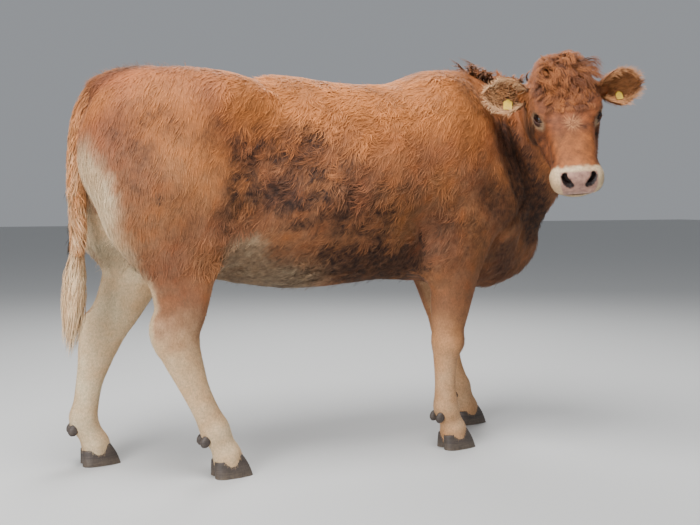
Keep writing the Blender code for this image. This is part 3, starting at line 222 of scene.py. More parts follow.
# Lids: thickness, half height and half length of the slit, and how deep it goes in
LID = 0.0055
SLIT_HIGH = 0.0105
SLIT_LONG = 0.0215
SLIT_DEPTH = 0.006
# One nostril: x, y, z and two half sizes along it, and how far back its inside lies
NOSTRIL_RUN = [
    (0.475, 0.027, -0.058, 0.0060, 0.0052),
    (0.472, 0.034, -0.053, 0.0082, 0.0070),
    (0.464, 0.043, -0.045, 0.0080, 0.0070),
    (0.452, 0.051, -0.037, 0.0048, 0.0042),
]
NOSTRIL_DEPTH = 0.020
# The mouth: height of its line, rise at the back, half width, depth and hind end
MOUTH_LINE = -0.1125
MOUTH_RISE = 0.012
MOUTH_WIDE = 0.0042
MOUTH_DEPTH = 0.011
MOUTH_END = 0.325
# The head's share of the body in its own XZ plane, and its side faces
HEAD_CUT = [(-0.16, 0.16), (-0.105, 0.0), (0.035, -0.245), (0.50, -0.165), (0.60, -0.10), (0.60, 0.16)]
HEAD_CUT_SIDES = (-0.145, 0.175)
EAR_ROOT = Vector((0.079, 0.098, -0.074))
EAR_AXIS = Vector((-0.12, 0.99, 0.06))
EAR_MOUTH = Vector((0.70, 0.15, 0.69))
EAR_LENGTH = 0.142
EAR_WIDTH = 0.063
EAR_START = 0.026
EAR_CURVE = 0.016
TAG_SHARE = 0.42
TAG_TURN = 32.0
# Width and height of each tag's plate
TAG_PLATES = {"right": (0.030, 0.040), "left": (0.022, 0.030)}

# The tail's dock: x, y, z, half width, half depth
TAIL = [
    (-0.740, 0.0, 1.268, 0.052, 0.036),
    (-0.800, 0.0, 1.262, 0.050, 0.039),
    (-0.854, 0.0, 1.228, 0.044, 0.042),
    (-0.896, 0.0, 1.174, 0.037, 0.039),
    (-0.921, 0.0, 1.100, 0.032, 0.034),
    (-0.933, 0.0, 1.000, 0.030, 0.031),
    (-0.934, 0.0, 0.880, 0.028, 0.029),
    (-0.934, 0.0, 0.790, 0.025, 0.026),
    (-0.936, 0.0, 0.735, 0.020, 0.020),
]


# Field tools


def catmull(knots, cuts):
    """Rows of numbers turned into a smooth run with cuts points for each span."""
    knots = np.asarray(knots, float)
    padded = np.vstack([2 * knots[0] - knots[1], knots, 2 * knots[-1] - knots[-2]])
    run = []
    for a, b, c, d in zip(padded, padded[1:], padded[2:], padded[3:]):
        for t in np.arange(cuts) / cuts:
            square = 2 * a - 5 * b + 4 * c - d
            cube = 3 * b - a - 3 * c + d
            run.append(0.5 * (2 * b + (c - a) * t + square * t**2 + cube * t**3))
    run.append(knots[-1])
    return np.array(run)


def unit(rows):
    return rows / np.maximum(np.linalg.norm(rows, axis=-1, keepdims=True), 1e-9)


def tube(points, stations, side=(0, 1, 0), power=2.0, egg=0.0, cuts=4):
    """Distance, near the surface, to a limb that runs along its stations. No side means level."""
    run = catmull(stations, cuts)
    centre, radii = run[:, :3], np.maximum(run[:, 3:5], THINNEST)
    reach = radii.max() + NEARBY
    out = np.full(len(points), FAR)
    near = np.all((points > centre.min(0) - reach) & (points < centre.max(0) + reach), axis=1)
    q = points[near]
    if not len(q):
        return out
    start, span = centre[:-1], np.diff(centre, axis=0)
    length2 = (span**2).sum(1)
    tangents = unit(np.gradient(centre, axis=0))
    values = np.empty(len(q))
    for first in range(0, len(q), BATCH):
        p = q[first : first + BATCH]
        t = np.clip(((p @ span.T) - (start * span).sum(1)) / length2, 0, 1)
        away = (
            (p**2).sum(1)[:, None]
            - 2 * (p @ start.T + t * (p @ span.T))
            + (start**2).sum(1)
            + 2 * t * (start * span).sum(1)
            + t**2 * length2
        )
        best = away.argmin(1)
        s = t[np.arange(len(p)), best][:, None]
        mid = start[best] + s * span[best]
        along = unit(tangents[best] * (1 - s) + tangents[best + 1] * s)
        size = radii[best] * (1 - s) + radii[best + 1] * s
        if side is None:
            across = np.cross((0.0, 0.0, 1.0), along)
        else:
            across = np.broadcast_to(np.asarray(side, float), along.shape)
        across = unit(across - (across * along).sum(1)[:, None] * along)
        deep = np.cross(across, along)
        o = p - mid
        b = (o * deep).sum(1) / size[:, 1]
        a = (o * across).sum(1) / (size[:, 0] * (1 + egg * np.clip(b, -1, 1)))
        c = (o * along).sum(1) / size.min(1)
        k = (np.abs(a) ** power + np.abs(b) ** power + np.abs(c) ** power) ** (1 / power)
        k = np.maximum(k, 1e-4)
        slope = np.sqrt(
            (np.abs(a) ** (power - 1) / size[:, 0]) ** 2
            + (np.abs(b) ** (power - 1) / size[:, 1]) ** 2
            + (np.abs(c) ** (power - 1) / size.min(1)) ** 2
        )
        values[first : first + BATCH] = (k - 1) / np.maximum(slope * k ** (1 - power), 1e-6)
    out[near] = np.minimum(values, FAR)
    return out


def ball(points, centre, radii, turn=None):
    """Distance, near the surface, to an ellipsoid."""
    q = points - np.asarray(centre, float)
    if turn is not None:
        q = q @ np.array(turn)
    radii = np.asarray(radii, float)
    k = np.linalg.norm(q / radii, axis=1)
    slope = np.linalg.norm(q / radii**2, axis=1)
    return np.minimum(k * (k - 1) / np.maximum(slope, 1e-6), FAR)


def join(a, b, soft):
    """Smooth union."""
    h = np.clip(0.5 + 0.5 * (b - a) / soft, 0, 1)
    return b * (1 - h) + a * h - soft * h * (1 - h)


def carve(a, b, soft):
    """Smooth difference, a less b."""
    return -join(-a, b, soft)


def about_y(degrees):
    return np.array(Matrix.Rotation(math.radians(degrees), 3, "Y"))


def mirrored(place, side):
    return (place[0], side * place[1], place[2])


# Flesh


def leg_stations(name):
    """One leg's stations, with its stride and its side."""
    rows = FORELEG if name.startswith("front") else HINDLEG
    side = -1 if name.endswith("right") else 1
    stride = STRIDES[name]
    drop = HOCK_DROP.get(name, 0.0)
    placed = []
    for x, y, z, w, d in rows:
        share = np.clip((STEP_TOP - z) / (STEP_TOP - STEP_FOOT), 0, 1)
        swing = stride * share ** SWING_BEND[name.split("_")[0]]
        lowered = drop * math.exp(-(((z - DROP_AT) / DROP_SPREAD) ** 2))
        placed.append((x + swing, side * y, z - lowered, w, d))
    return placed


def trunk(points):
    stations = [(x, 0.0, (top + floor) / 2, w, (top - floor) / 2) for x, top, floor, w in TRUNK]
    return tube(points, stations, power=2.25, egg=0.07, cuts=3)


def masses(points, rows, side, lean=0.0):
    """Ellipsoids of one side, joined in turn. The lean moves each forwards by its share."""
    flesh = None
    for (x, y, z), radii, tilt, share, soft in rows:
        mass = ball(points, (x + share * lean, side * y, z), radii, about_y(tilt))
        flesh = mass if flesh is None else join(flesh, mass, soft)
    return flesh


def limb(points, name):
    stations = leg_stations(name)
    leg = tube(points, stations)
    if name.startswith("hind"):
        hock = next(s[:3] for s in stations if s[2] < HOCK_BELOW)
        point = ball(points, np.add(hock, HOCK_POINT), HOCK_SIZE)
        calf = [s for s in stations if CORD_SPAN[0] < s[2] < CORD_SPAN[1]]
        cord = [(x - CORD_BACK * d, y, z, CORD_RADIUS, CORD_RADIUS) for x, y, z, _, d in calf]
        return join(join(leg, point, 0.035), tube(points, cord), 0.025)
    knee = next(s[:3] for s in stations if s[2] < KNEE_BELOW)
    return join(leg, ball(points, np.add(knee, KNEE_POINT), KNEE_SIZE), 0.03)


def head_matrix():
    heading, nod, lean = (math.radians(v) for v in (HEAD_HEADING, HEAD_NOD, HEAD_LEAN))
    forward = Vector((math.cos(heading) * math.cos(nod), math.sin(heading) * math.cos(nod), -math.sin(nod)))
    over = Vector((math.cos(heading) * math.sin(nod), math.sin(heading) * math.sin(nod), math.cos(nod)))
    level = over.cross(forward)
    left = level * math.cos(lean) + over * math.sin(lean)
    return Matrix((forward, left, forward.cross(left))).transposed()


def eye_opening(q, side):
    """How far a point of the head's frame is above or below the slit between the lids."""
    gaze = np.array(mirrored(EYE_GAZE, side))
    gaze /= np.linalg.norm(gaze)
    along = np.array(mirrored(EYE_SLIT, side))
    along -= along @ gaze * gaze
    along /= np.linalg.norm(along)
    over = np.cross(gaze, along) * (1 if side < 0 else -1)
    o = q - np.array(mirrored(EYE, side))
    return o @ gaze, o @ along, o @ over


def head(points):
    """The head without its ears and eyes."""
    turn = np.array(head_matrix())
    q = (points - np.array(HEAD_ORIGIN)) @ turn / HEAD_SIZE
    out = np.full(len(points), FAR)
    near = np.linalg.norm(q - np.array(HEAD_MIDDLE), axis=1) < HEAD_REACH
    q = q[near]
    f = tube(q, FACE, power=2.35, cuts=3)
    f = join(f, tube(q, JAW, power=2.2, cuts=3), 0.045)
    for centre, radii, soft in HEAD_MASSES:
        f = join(f, ball(q, centre, radii), soft)
    for side in (-1, 1):
        for centre, radii, soft in CHEEK_MASSES:
            f = join(f, ball(q, mirrored(centre, side), radii), soft)
        centre, radii, soft = CHEEK_HOLLOW
        f = carve(f, ball(q, mirrored(centre, side), radii), soft)
        f = lids(f, q, side)
        f = nostril(f, q, side)
    f = mouth(f, q)
    out[near] = np.minimum(f * HEAD_SIZE, FAR)
    return out


def lids(f, q, side):
    """A rim of lid over the eyeball, parted by a slit that tapers to both corners."""
    toward, along, over = eye_opening(q, side)
    distance = np.sqrt(toward**2 + along**2 + over**2)
    f = join(f, distance - (EYE_RADIUS + LID), 0.010)
    half = SLIT_HIGH * np.clip(1 - (along / SLIT_LONG) ** 2, 0, 1) ** 0.7
    slit = np.where(toward > 0, np.abs(over - 0.001) - half, EYE_RADIUS)
    slit = np.maximum(slit, np.abs(along) - SLIT_LONG)
    return carve(f, np.maximum(slit, SLIT_DEPTH - toward), 0.003)


def nostril_runs(side):
    """Stations of one nostril's opening, and of its inside."""
    run = [(x, side * y, z, w, d) for x, y, z, w, d in NOSTRIL_RUN]
    return run, [(x - NOSTRIL_DEPTH, y, z, w, d) for x, y, z, w, d in run[:3]]


def nostril(f, q, side):
    """A comma-shaped opening that runs up and outwards on the front of the muzzle."""
    run, inner = nostril_runs(side)
    f = carve(f, tube(q, run, cuts=3), 0.005)
    return carve(f, tube(q, inner, cuts=2), 0.006)


def mouth(f, q):
    """The slit between the lips, round the front and back along both cheeks."""
    line = MOUTH_LINE + MOUTH_RISE * np.clip((0.44 - q[:, 0]) / 0.11, 0, 1) ** 2
    wide = MOUTH_WIDE * np.clip((q[:, 0] - MOUTH_END) / 0.05, 0, 1)
    groove = np.abs(q[:, 2] - line) - wide * np.clip(1 + f / MOUTH_DEPTH, 0, 1) + 0.0002
    return carve(f, np.maximum(groove, MOUTH_END - q[:, 0]), 0.003)


def flesh(points):
    """The whole body without ears and tail."""
    f = trunk(points)
    for side, name in ((-1, "hind_right"), (1, "hind_left")):
        lean = LEAN_SHARE * STRIDES[name]
        f = join(f, masses(points, HIND_MASSES, side, lean), SOFT_HIND)
    for side in (-1, 1):
        f = join(f, masses(points, SHOULDER_MASSES, side), SOFT_SHOULDER)
    f = join(f, tube(points, NECK, side=None, power=2.1, cuts=5), SOFT_NECK)
    f = join(f, ball(points, *BRISKET[:2]), BRISKET[2])
    f = join(f, tube(points, DEWLAP), SOFT_SKIN)
    for centre, radii, soft in UNDER_MASSES:
        f = join(f, ball(points, centre, radii), soft)
    for side in (-1, 1):
        for centre, radii, soft in HOLLOWS:
            f = carve(f, ball(points, mirrored(centre, side), radii), soft)
    for name in STRIDES:
        f = join(f, limb(points, name), SOFT_SKIN if name.startswith("front") else SOFT_THIGH)
    return join(f, head(points), SOFT_SKIN)


# Polygoniser


def lattice(low, step, index):
    return low + index * step


def unpinch(values):
    """Moves lattice values off the patterns where two sheets of the surface would share an edge."""
    tiny = 1e-6
    for _ in range(20):
        inside = values < 0
        found = 0
        for u, v in ((0, 1), (1, 2), (0, 2)):
            step_u, step_v = np.eye(3, dtype=int)[u], np.eye(3, dtype=int)[v]
            window = [slice(0, values.shape[i] - step_u[i] - step_v[i]) for i in range(3)]
            ends = []
            for shift in (step_u, step_v, step_u + step_v):
                ends.append(tuple(slice(w.start + s, w.stop + s) for w, s in zip(window, shift)))
            a, b, c, d = inside[tuple(window)], inside[ends[0]], inside[ends[1]], inside[ends[2]]
            for row in np.argwhere((a == d) & (b == c) & (a != b)):
                open_pair = (row, row + step_u + step_v)
                if inside[tuple(row)]:
                    open_pair = (row + step_u, row + step_v)
                pick = min(open_pair, key=lambda at: values[tuple(at)])
                values[tuple(pick)] = -tiny
                found += 1
        inside = values < 0
        corners = [np.array((i, j, k)) for i in (0, 1) for j in (0, 1) for k in (0, 1)]
        cell = []
        for corner in corners:
            cell.append(inside[tuple(slice(c, n - 1 + c) for c, n in zip(corner, values.shape))])
        total = sum(c.astype(int) for c in cell)
        for i in range(4):
            opposite = cell[i] & cell[7 - i]
            neither = ~cell[i] & ~cell[7 - i]
            for sign, lone in ((1, (total == 2) & opposite), (-1, (total == 6) & neither)):
                for row in np.argwhere(lone):
                    values[tuple(row + corners[i])] = sign * tiny
                    found += 1
        if not found:
            break
    return values


def surface_net(field, low, high, step):
    """Points and quads of the field's zero surface, each point moved onto it."""
    low, high = np.asarray(low, float), np.asarray(high, float)
    coarse = 4
    blocks = np.ceil((high - low) / (step * coarse)).astype(int)
    shape = blocks * coarse + 1
    corner = np.stack(np.meshgrid(*[np.arange(n + 1) for n in blocks], indexing="ij"), -1)
    rough = field(lattice(low, step * coarse, corner.reshape(-1, 3))).reshape(blocks + 1)
    values = rough
    for axis in range(3):
        values = np.repeat(values, coarse, axis=axis)
    values = values[: shape[0], : shape[1], : shape[2]].copy()
    band = np.abs(rough) < step * coarse * 1.9
    marked = np.zeros(shape, bool)
    for block in np.argwhere(band):
        a = np.maximum(block * coarse - coarse, 0)
        b = np.minimum(block * coarse + coarse + 1, shape)
        marked[a[0] : b[0], a[1] : b[1], a[2] : b[2]] = True
    fine = np.argwhere(marked)
    values[marked] = field(lattice(low, step, fine))
    values = unpinch(values)
    inside = values < 0
    mixed = np.zeros(shape - 1, int)
    corners = [(i, j, k) for i in (0, 1) for j in (0, 1) for k in (0, 1)]
    for i, j, k in corners:
        mixed += inside[i : i + shape[0] - 1, j : j + shape[1] - 1, k : k + shape[2] - 1]
    cells = np.argwhere((mixed > 0) & (mixed < 8))
    at = np.array(corners)
    held = values[tuple((cells[:, None, :] + at[None]).transpose(2, 0, 1))]
    total = np.zeros((len(cells), 3))
    count = np.zeros(len(cells))
    for a in range(8):
        for b in range(a + 1, 8):
            if abs(at[a] - at[b]).sum() != 1:
                continue
            cross = (held[:, a] < 0) != (held[:, b] < 0)
            t = np.where(cross, held[:, a] / np.where(cross, held[:, a] - held[:, b], 1), 0)
            total[cross] += (at[a] + t[:, None] * (at[b] - at[a]))[cross]
            count += cross
    points = lattice(low, step, cells + total / count[:, None])
    number = np.full(shape - 1, -1, np.int64)
    number[tuple(cells.T)] = np.arange(len(cells))
    quads = []
    for axis in range(3):
        u, v = (axis + 1) % 3, (axis + 2) % 3
        ahead = np.roll(inside, -1, axis)
        change = inside != ahead
        rim = [slice(1, -1)] * 3
        rim[axis] = slice(0, shape[axis] - 1)
        hold = np.zeros(shape, bool)
        hold[tuple(rim)] = change[tuple(rim)]
        edges = np.argwhere(hold)
        du, dv = np.eye(3, dtype=int)[u], np.eye(3, dtype=int)[v]
        ring = [edges - du - dv, edges - dv, edges, edges - du]
        quad = np.stack([number[tuple(r.T)] for r in ring], 1)
        flip = ~inside[tuple(edges.T)]
        quad[flip] = quad[flip][:, ::-1]
        quads.append(quad)
    quads = np.concatenate(quads)
    return settle(field, points, step), quads


def settle(field, points, step, rounds=2):
    """Moves points onto the zero surface along its slope."""
    d = step * 0.15
    for _ in range(rounds):
        f = field(points)
        slope = np.stack([field(points + d * e) - f for e in np.eye(3)], 1) / d
        move = f[:, None] * slope / np.maximum((slope**2).sum(1, keepdims=True), 0.05)
        size = np.linalg.norm(move, axis=1, keepdims=True)
        points = points - move * np.minimum(1, 0.5 * step / np.maximum(size, 1e-9))
    return points


# Blender tools


def head_point(place):
    return np.array(HEAD_ORIGIN) + np.array(head_matrix()) @ np.asarray(place, float) * HEAD_SIZE


def ear_frame(side):
    """Axis, broad side and mouth of one ear, in the world."""
    turn = head_matrix()
    axis = (turn @ Vector(mirrored(EAR_AXIS, side))).normalized()
    mouth_way = turn @ Vector(mirrored(EAR_MOUTH, side))
    opening = (mouth_way - mouth_way.dot(axis) * axis).normalized()
    return np.array(axis), np.array(axis.cross(opening)), np.array(opening)


def ear_section(share):
    """Half width along the arc, and half angle, of an ear's section."""
    half = EAR_WIDTH * (0.98 + 0.42 * math.sin(math.pi * share**0.85)) * (1 - share**2.6) ** 0.62
    return half, math.radians(142 - 104 * share**0.5)


def ear_place(side, share, turn, depth):
    """A point of an ear's cup: share along it, turned round its section, depth in from its back."""
    axis, broad, opening = ear_frame(side)
    half, angle = ear_section(share)
    radius = half / angle
    spine = head_point(mirrored(EAR_ROOT, side)) + axis * (EAR_START + EAR_LENGTH * share)
    spine = spine + opening * EAR_CURVE * share**2
    r = radius - depth
    return spine + opening * (radius - r * math.cos(turn * angle)) + broad * r * math.sin(turn * angle)


def hoof_frame(name):
    x, y, _, _, _ = leg_stations(name)[-2]
    return x, y


def coronet_height(x, x0):
    return CORONET + math.tan(math.radians(CORONET_SLOPE)) * (x - x0)


# The looks


def find_shift():
    """How far the solids lie from the photo's frame, from the centre of one eye."""
    eye = bpy.data.objects["eye_left"]
    corners = np.array([v.co for v in eye.data.vertices]) @ np.array(eye.matrix_world.to_3x3()).T
    corners = corners + np.array(eye.matrix_world.translation)
    middle = (corners.min(0) + corners.max(0)) / 2
    return middle - head_point(mirrored(EYE, 1))


SHIFT = find_shift()
# The skin: how it dips past the join of body and head, steps of the two lattices, their overlap
SKIN_DIP = 0.4
SKIN_STEP = 0.0105
FACE_STEP = 0.0044
SKIN_LAP = 0.035
BODY_BOX = ((-1.10, -0.75, -0.03), (1.00, 0.42, 1.47))
SKIN_FLOOR = 0.030
HEAD_BOX_MIDDLE = (0.20, 0.0, -0.08)
HEAD_BOX_HALF = 0.36
# Depth of the coat on the body, how much less on the lower legs, on the face and on the tail
BODY_DEPTH = 0.0065
LEG_LESS = 0.0030
FACE_DEPTH = 0.0022
TAIL_DEPTH = 0.008
TAIL_LEAST = 0.006
PIECE_TRIANGLES = 190000
# Coats: name, distance between tufts and rings of the body's layers, and distances elsewhere
BODY_LAYERS = (("coat_body_under", 0.0066, 2), ("coat_body_over", 0.0071, 3))
LEG_SPACING = 0.0060
FACE_SPACING = 0.0034
EAR_SPACING = 0.0034
WISP_SPACING = 0.010
# Hairs of each ear's fringe, of the dock and of the switch
FRINGE_HAIRS = 620
TAIL_HAIRS = 4200
SWITCH_HAIRS = 1500
# Primes that number the cells of a scatter, and the size of a tuft's patch in the UV map
CELL_PRIMES = (73856093, 19349663, 83492791)
UV_PATCH = 0.0015
# The skin's pieces after body and head
RIGHT_EAR, LEFT_EAR, DOCK = 2, 3, 4
# Places of the head's frame: centre of the whorl on the brow
WHORL = (0.262, 0.004, -0.012)
# Labels of the animal's parts
TRUNK_LABEL, HEAD_LABEL, FIRST_LEG, LAST_LEG, TAIL_LABEL, EAR_LABEL = 0, 1, 2, 5, 6, 7
# A place belongs to a leg below this height and this near to the leg's stations
LEG_TOP = 0.66
LEG_NEAR = 0.16
# Size and seed of the three waves of chance in the markings
MARK_WAVES = ((0.20, 5), (0.05, 6), (0.022, 7))
# Folds of the skin in the photo's frame: places, size and softness of each crease. Shade is also
# painted along each crease.
FOLDS = [
    (
        [(0.492, -0.166, 1.195), (0.487, -0.214, 1.096), (0.520, -0.222, 1.005),
         (0.555, -0.228, 0.910), (0.591, -0.215, 0.857)],
        0.005, 0.014,
    ),
    (
        [(0.528, -0.156, 1.186), (0.521, -0.199, 1.098), (0.548, -0.211, 1.006),
         (0.574, -0.218, 0.932), (0.603, -0.209, 0.875)],
        0.005, 0.014,
    ),
    (
        [(0.562, -0.156, 1.169), (0.566, -0.183, 1.100), (0.584, -0.196, 1.025),
         (0.602, -0.202, 0.961), (0.622, -0.200, 0.892)],
        0.006, 0.014,
    ),
    (
        [(0.586, -0.164, 1.159), (0.589, -0.180, 1.101), (0.609, -0.190, 1.036),
         (0.629, -0.193, 0.979)],
        0.005, 0.012,
    ),
    (
        [(0.603, -0.209, 0.867), (0.546, -0.225, 0.807), (0.497, -0.217, 0.758),
         (0.477, -0.204, 0.722), (0.469, -0.170, 0.663)],
        0.008, 0.028,
    ),
    (
        [(0.584, -0.218, 0.857), (0.623, -0.175, 0.791), (0.631, -0.140, 0.724)],
        0.007, 0.022,
    ),
    (
        [(0.150, -0.262, 0.810), (0.167, -0.239, 0.733), (0.185, -0.229, 0.675),
         (0.197, -0.215, 0.625)],
        0.007, 0.022,
    ),
]
# Pale and dark shares of the hair inside the ears; the left ear's lower pale and higher dark shares
# are painted shade in its cup.
EAR_PALE = {"right": 0.40, "left": 0.10}
EAR_DARK_AND_SHADE = {"right": 0.10, "left": 0.58}
# Painted shade of the coat in the side view, with the darker wet coat of the flank among it: a band's
# two ends, its radius, and how dark it is on the animal's right and on its left.
PAINTED_SHADE_BANDS = [
    ((-0.46, 1.03), (-0.36, 0.92), 0.075, 0.74, 0.74),
    ((-0.40, 1.07), (-0.24, 1.08), 0.055, 0.72, 0.48),
    ((-0.34, 1.02), (-0.20, 0.96), 0.080, 0.72, 0.48),
    ((-0.20, 0.97), (0.10, 0.90), 0.085, 0.66, 0.42),
    ((-0.48, 0.93), (-0.22, 0.88), 0.072, 0.92, 0.72),
    ((-0.30, 0.86), (-0.02, 0.82), 0.092, 0.88, 0.60),
    ((-0.12, 0.90), (-0.02, 0.76), 0.080, 0.84, 0.58),
    ((0.26, 0.84), (0.36, 0.76), 0.100, 0.68, 0.55),
    ((0.24, 0.70), (0.34, 0.66), 0.080, 0.52, 0.52),
    ((0.44, 0.90), (0.54, 0.84), 0.090, 0.92, 0.24),
    ((-0.14, 0.71), (0.10, 0.67), 0.085, 0.88, 0.88),
    ((-0.02, 0.67), (0.14, 0.63), 0.075, 1.20, 1.20),
    ((0.165, 0.78), (0.180, 0.64), 0.020, 0.85, 0.64),
    ((0.52, 0.78), (0.62, 0.64), 0.100, 0.66, 0.23),
    ((0.53, 1.11), (0.60, 0.86), 0.080, 1.02, 0.29),
    ((0.57, 1.02), (0.70, 0.80), 0.090, 1.15, 0.33),
    ((0.40, 1.26), (0.50, 1.18), 0.090, 0.50, 0.13),
    ((-0.47, 0.92), (-0.54, 0.82), 0.045, 0.62, 0.62),
    ((-0.80, 1.10), (-0.76, 0.90), 0.080, 0.54, 0.50),
    ((-0.74, 1.14), (-0.58, 1.09), 0.075, 0.48, 0.40),
    ((-0.79, 0.94), (-0.69, 0.82), 0.080, 0.58, 0.52),
]
# Painted light in the side view: a band's two ends, its radius and how much lighter it is.
PAINTED_LIGHT_BANDS = [
    ((-0.60, 0.70), (-0.55, 0.60), 0.080, 0.26),
    ((0.02, 1.03), (0.20, 0.96), 0.100, 0.20),
    ((0.44, 1.14), (0.46, 1.04), 0.060, 0.24),
]
# Rows of the mop: place along and above the poll, locks, length and lift.
MOP_ROWS = [
    (-0.070, 0.020, 0.120, 10, 0.050, 0.35),
    (-0.045, 0.030, 0.150, 13, 0.060, 0.42),
    (-0.020, 0.035, 0.170, 15, 0.070, 0.45),
    (0.005, 0.035, 0.175, 16, 0.085, 0.42),
    (0.030, 0.030, 0.175, 16, 0.085, 0.36),
    (0.055, 0.020, 0.170, 15, 0.078, 0.28),
    (0.080, 0.010, 0.160, 14, 0.060, 0.22),
    (0.105, 0.005, 0.150, 12, 0.045, 0.18),
    (0.130, 0.000, 0.140, 12, 0.038, 0.14),
    (0.155, 0.000, 0.130, 11, 0.032, 0.12),
    (0.180, 0.000, 0.115, 10, 0.027, 0.10),
]
# Camera: place and aim in the photo's frame, and lens in mm
CAMERA_PLACE = (-1.339, -3.008, 0.885)
CAMERA_AIM = (0.0, 0.0, 0.664)
CAMERA_LENS = 47.83
# Lamps: name, place, aim, diameter and power
LIGHTS = [
    ("sky_key", (-1.0, -1.0, 4.5), (-0.1, 0.0, 0.8), 2.6, 300.0),
    ("sky_rear", (-3.0, -2.2, 1.7), (-0.6, 0.0, 0.5), 1.8, 120.0),
    ("sky_back", (1.4, 2.8, 3.4), (0.2, 0.0, 0.9), 2.6, 130.0),
]
WORLD_STRENGTH = 0.36
WORLD_COLOUR = (0.86, 0.90, 0.96, 1)
FLOOR_COLOUR = (0.55, 0.55, 0.54, 1)
FLOOR_HALF = 30
# Colours as displayed
COAT_RED = (178, 98, 54)
COAT_BROWN = (140, 80, 50)
COAT_GOLD = (224, 138, 68)
# Dark coat, also the colour of the painted shade
COAT_DARK_AND_SHADE = (46, 24, 14)
PALE_CREAM = (248, 224, 182)
PALE_PINK = (232, 190, 142)
NOSE_PINK = (190, 146, 126)
NOSE_MAUVE = (140, 102, 90)
RIM_BROWN = (62, 38, 32)
# Painted shade inside the nostrils
NOSTRIL_SHADE = (34, 20, 18)
IRIS_DARK = (30, 15, 9)
IRIS_BROWN = (56, 30, 18)
PUPIL_BLACK = (10, 9, 14)
WHITE_DARK = (52, 32, 26)
WHITE_BROWN = (84, 58, 48)
HORN_DARK = (52, 44, 40)
HORN_PALE = (88, 76, 68)
HORN_GRAIN = (34, 28, 26)
HORN_DUST = (112, 98, 82)
TAG_YELLOW = (226, 190, 58)
TAG_WORN = (206, 168, 44)
TAG_GRIME = (120, 92, 48)


# Skin


def blend(a, b, share):
    """a where the share is 0, b where it is 1. Rows of vectors take one share each."""
    if np.ndim(a) > np.ndim(share):
        share = share[:, None]
    return a * (1 - share) + b * share


def columns(n, *values):
    """Rows of n vectors, from one number or one row of numbers for each column."""
    return np.stack([np.broadcast_to(np.asarray(v, float), n) for v in values], 1)


def ease(x, low, high):
    """0 below low, 1 above high, smooth between."""
    t = np.clip((np.asarray(x, float) - low) / (high - low), 0, 1)
    return t * t * (3 - 2 * t)


def in_head(points):
    """Places in the head's own frame."""
    return (points - np.array(HEAD_ORIGIN)) @ np.array(head_matrix()) / HEAD_SIZE


def past_head(points):
    """How far a place lies outside the head's share, negative within it."""
    q = in_head(points)
    ring = np.array(HEAD_CUT)
    middle = ring.mean(0)
    outside = np.maximum(HEAD_CUT_SIDES[0] - q[:, 1], q[:, 1] - HEAD_CUT_SIDES[1])
    for a, b in zip(ring, np.roll(ring, -1, 0)):
        normal = np.array((b[1] - a[1], a[0] - b[0])) / np.linalg.norm(b - a)
        normal *= np.sign(normal @ (a - middle))
        outside = np.maximum(outside, (q[:, [0, 2]] - a) @ normal)
    return outside


def coat_depth(points):
    """How far the skin lies inside the outline of the solids."""
    body = BODY_DEPTH - LEG_LESS * ease(points[:, 2], 0.62, 0.42)
    share = ease(past_head(points), -0.02, 0.06)
    return body * share + FACE_DEPTH * (1 - share)


def creases(f, points):
    """Folds of the skin behind the jaw, between shoulder and brisket, at elbow and flank."""
    for run, size, soft in FOLDS:
        fold = tube(points, [(x, y, z, size, size) for x, y, z in run], side=(1, 0, 0))
        f = carve(f, fold, soft)
    return f


def ear_stub(f, points):
    """A swelling of the head at the root of each ear."""
    for side in (-1, 1):
        axis, broad, opening = ear_frame(side)
        root = np.array(head_point(mirrored(EAR_ROOT, side))) + axis * 0.012 + opening * 0.018
        stub = ball(points, root, (0.044, 0.023, 0.025), np.stack([axis, opening, broad], 1))
        f = join(f, stub, 0.020)
    return f


def skin_field(points, fine):
    """Distance to the skin: the head's own with fine, otherwise the body's."""
    f = creases(flesh(points), points) + coat_depth(points)
    outside = past_head(points)
    if fine:
        return ear_stub(f, points) + SKIN_DIP * np.maximum(outside, 0)
    return f + SKIN_DIP * np.maximum(-outside, 0)


def keep_faces(points, quads, keep):
    """The faces whose points are all kept, with the rest of the points dropped."""
    quads = quads[keep[quads].all(1)]
    used = np.unique(quads)
    number = np.full(len(points), -1)
    number[used] = np.arange(len(used))
    return points[used], number[quads]


def body_skin():
    points, quads = surface_net(lambda p: skin_field(p, False), *BODY_BOX, SKIN_STEP)
    kept = (past_head(points) > -SKIN_LAP) & (points[:, 2] > SKIN_FLOOR)
    return keep_faces(points, quads, kept)


def head_skin():
    middle = head_point(HEAD_BOX_MIDDLE)
    low, high = middle - HEAD_BOX_HALF, middle + HEAD_BOX_HALF
    points, quads = surface_net(lambda p: skin_field(p, True), low, high, FACE_STEP)
    return keep_faces(points, quads, past_head(points) < SKIN_LAP)


def ear_shell(side, thick=0.0042, rings=44, across=30):
    """The cup of an ear as a closed shell whose root runs into the head."""
    rows = []
    for layer in (0, 1):
        for i in range(rings):
            share = -0.14 + (0.985 + 0.14) * i / (rings - 1)
            for j in range(across + 1):
                turn = 2 * j / across - 1
                curl = 0.0035 * math.sin(turn * 9 + share * 5) * share
                along, edge = 1 - 0.55 * max(share, 0), 1 - 0.6 * abs(turn) ** 3
                inset = curl + layer * thick * along * edge
                shrink = min(1.0, 1 + 2.6 * min(share, 0))
                point = ear_place(side, max(share, 0), turn * shrink, inset)
                if share < 0:
                    point = point + ear_frame(side)[0] * EAR_LENGTH * share
                rows.append(point)
    faces, n, m = [], across + 1, rings * (across + 1)
    for i in range(rings - 1):
        for j in range(across):
            a = i * n + j
            faces.append((a, a + 1, a + n + 1, a + n))
            faces.append((m + a, m + a + n, m + a + n + 1, m + a + 1))
        for j, flip in ((0, False), (across, True)):
            a = i * n + j
            ring = (a, a + n, m + a + n, m + a)
            faces.append(ring[::-1] if flip else ring)
    for j in range(across):
        for i, flip in ((0, False), (rings - 1, True)):
            a = i * n + j
            ring = (a, m + a, m + a + 1, a + 1)
            faces.append(ring[::-1] if flip else ring)
    faces = np.array(faces)
    return np.array(rows), faces if side < 0 else faces[:, ::-1]


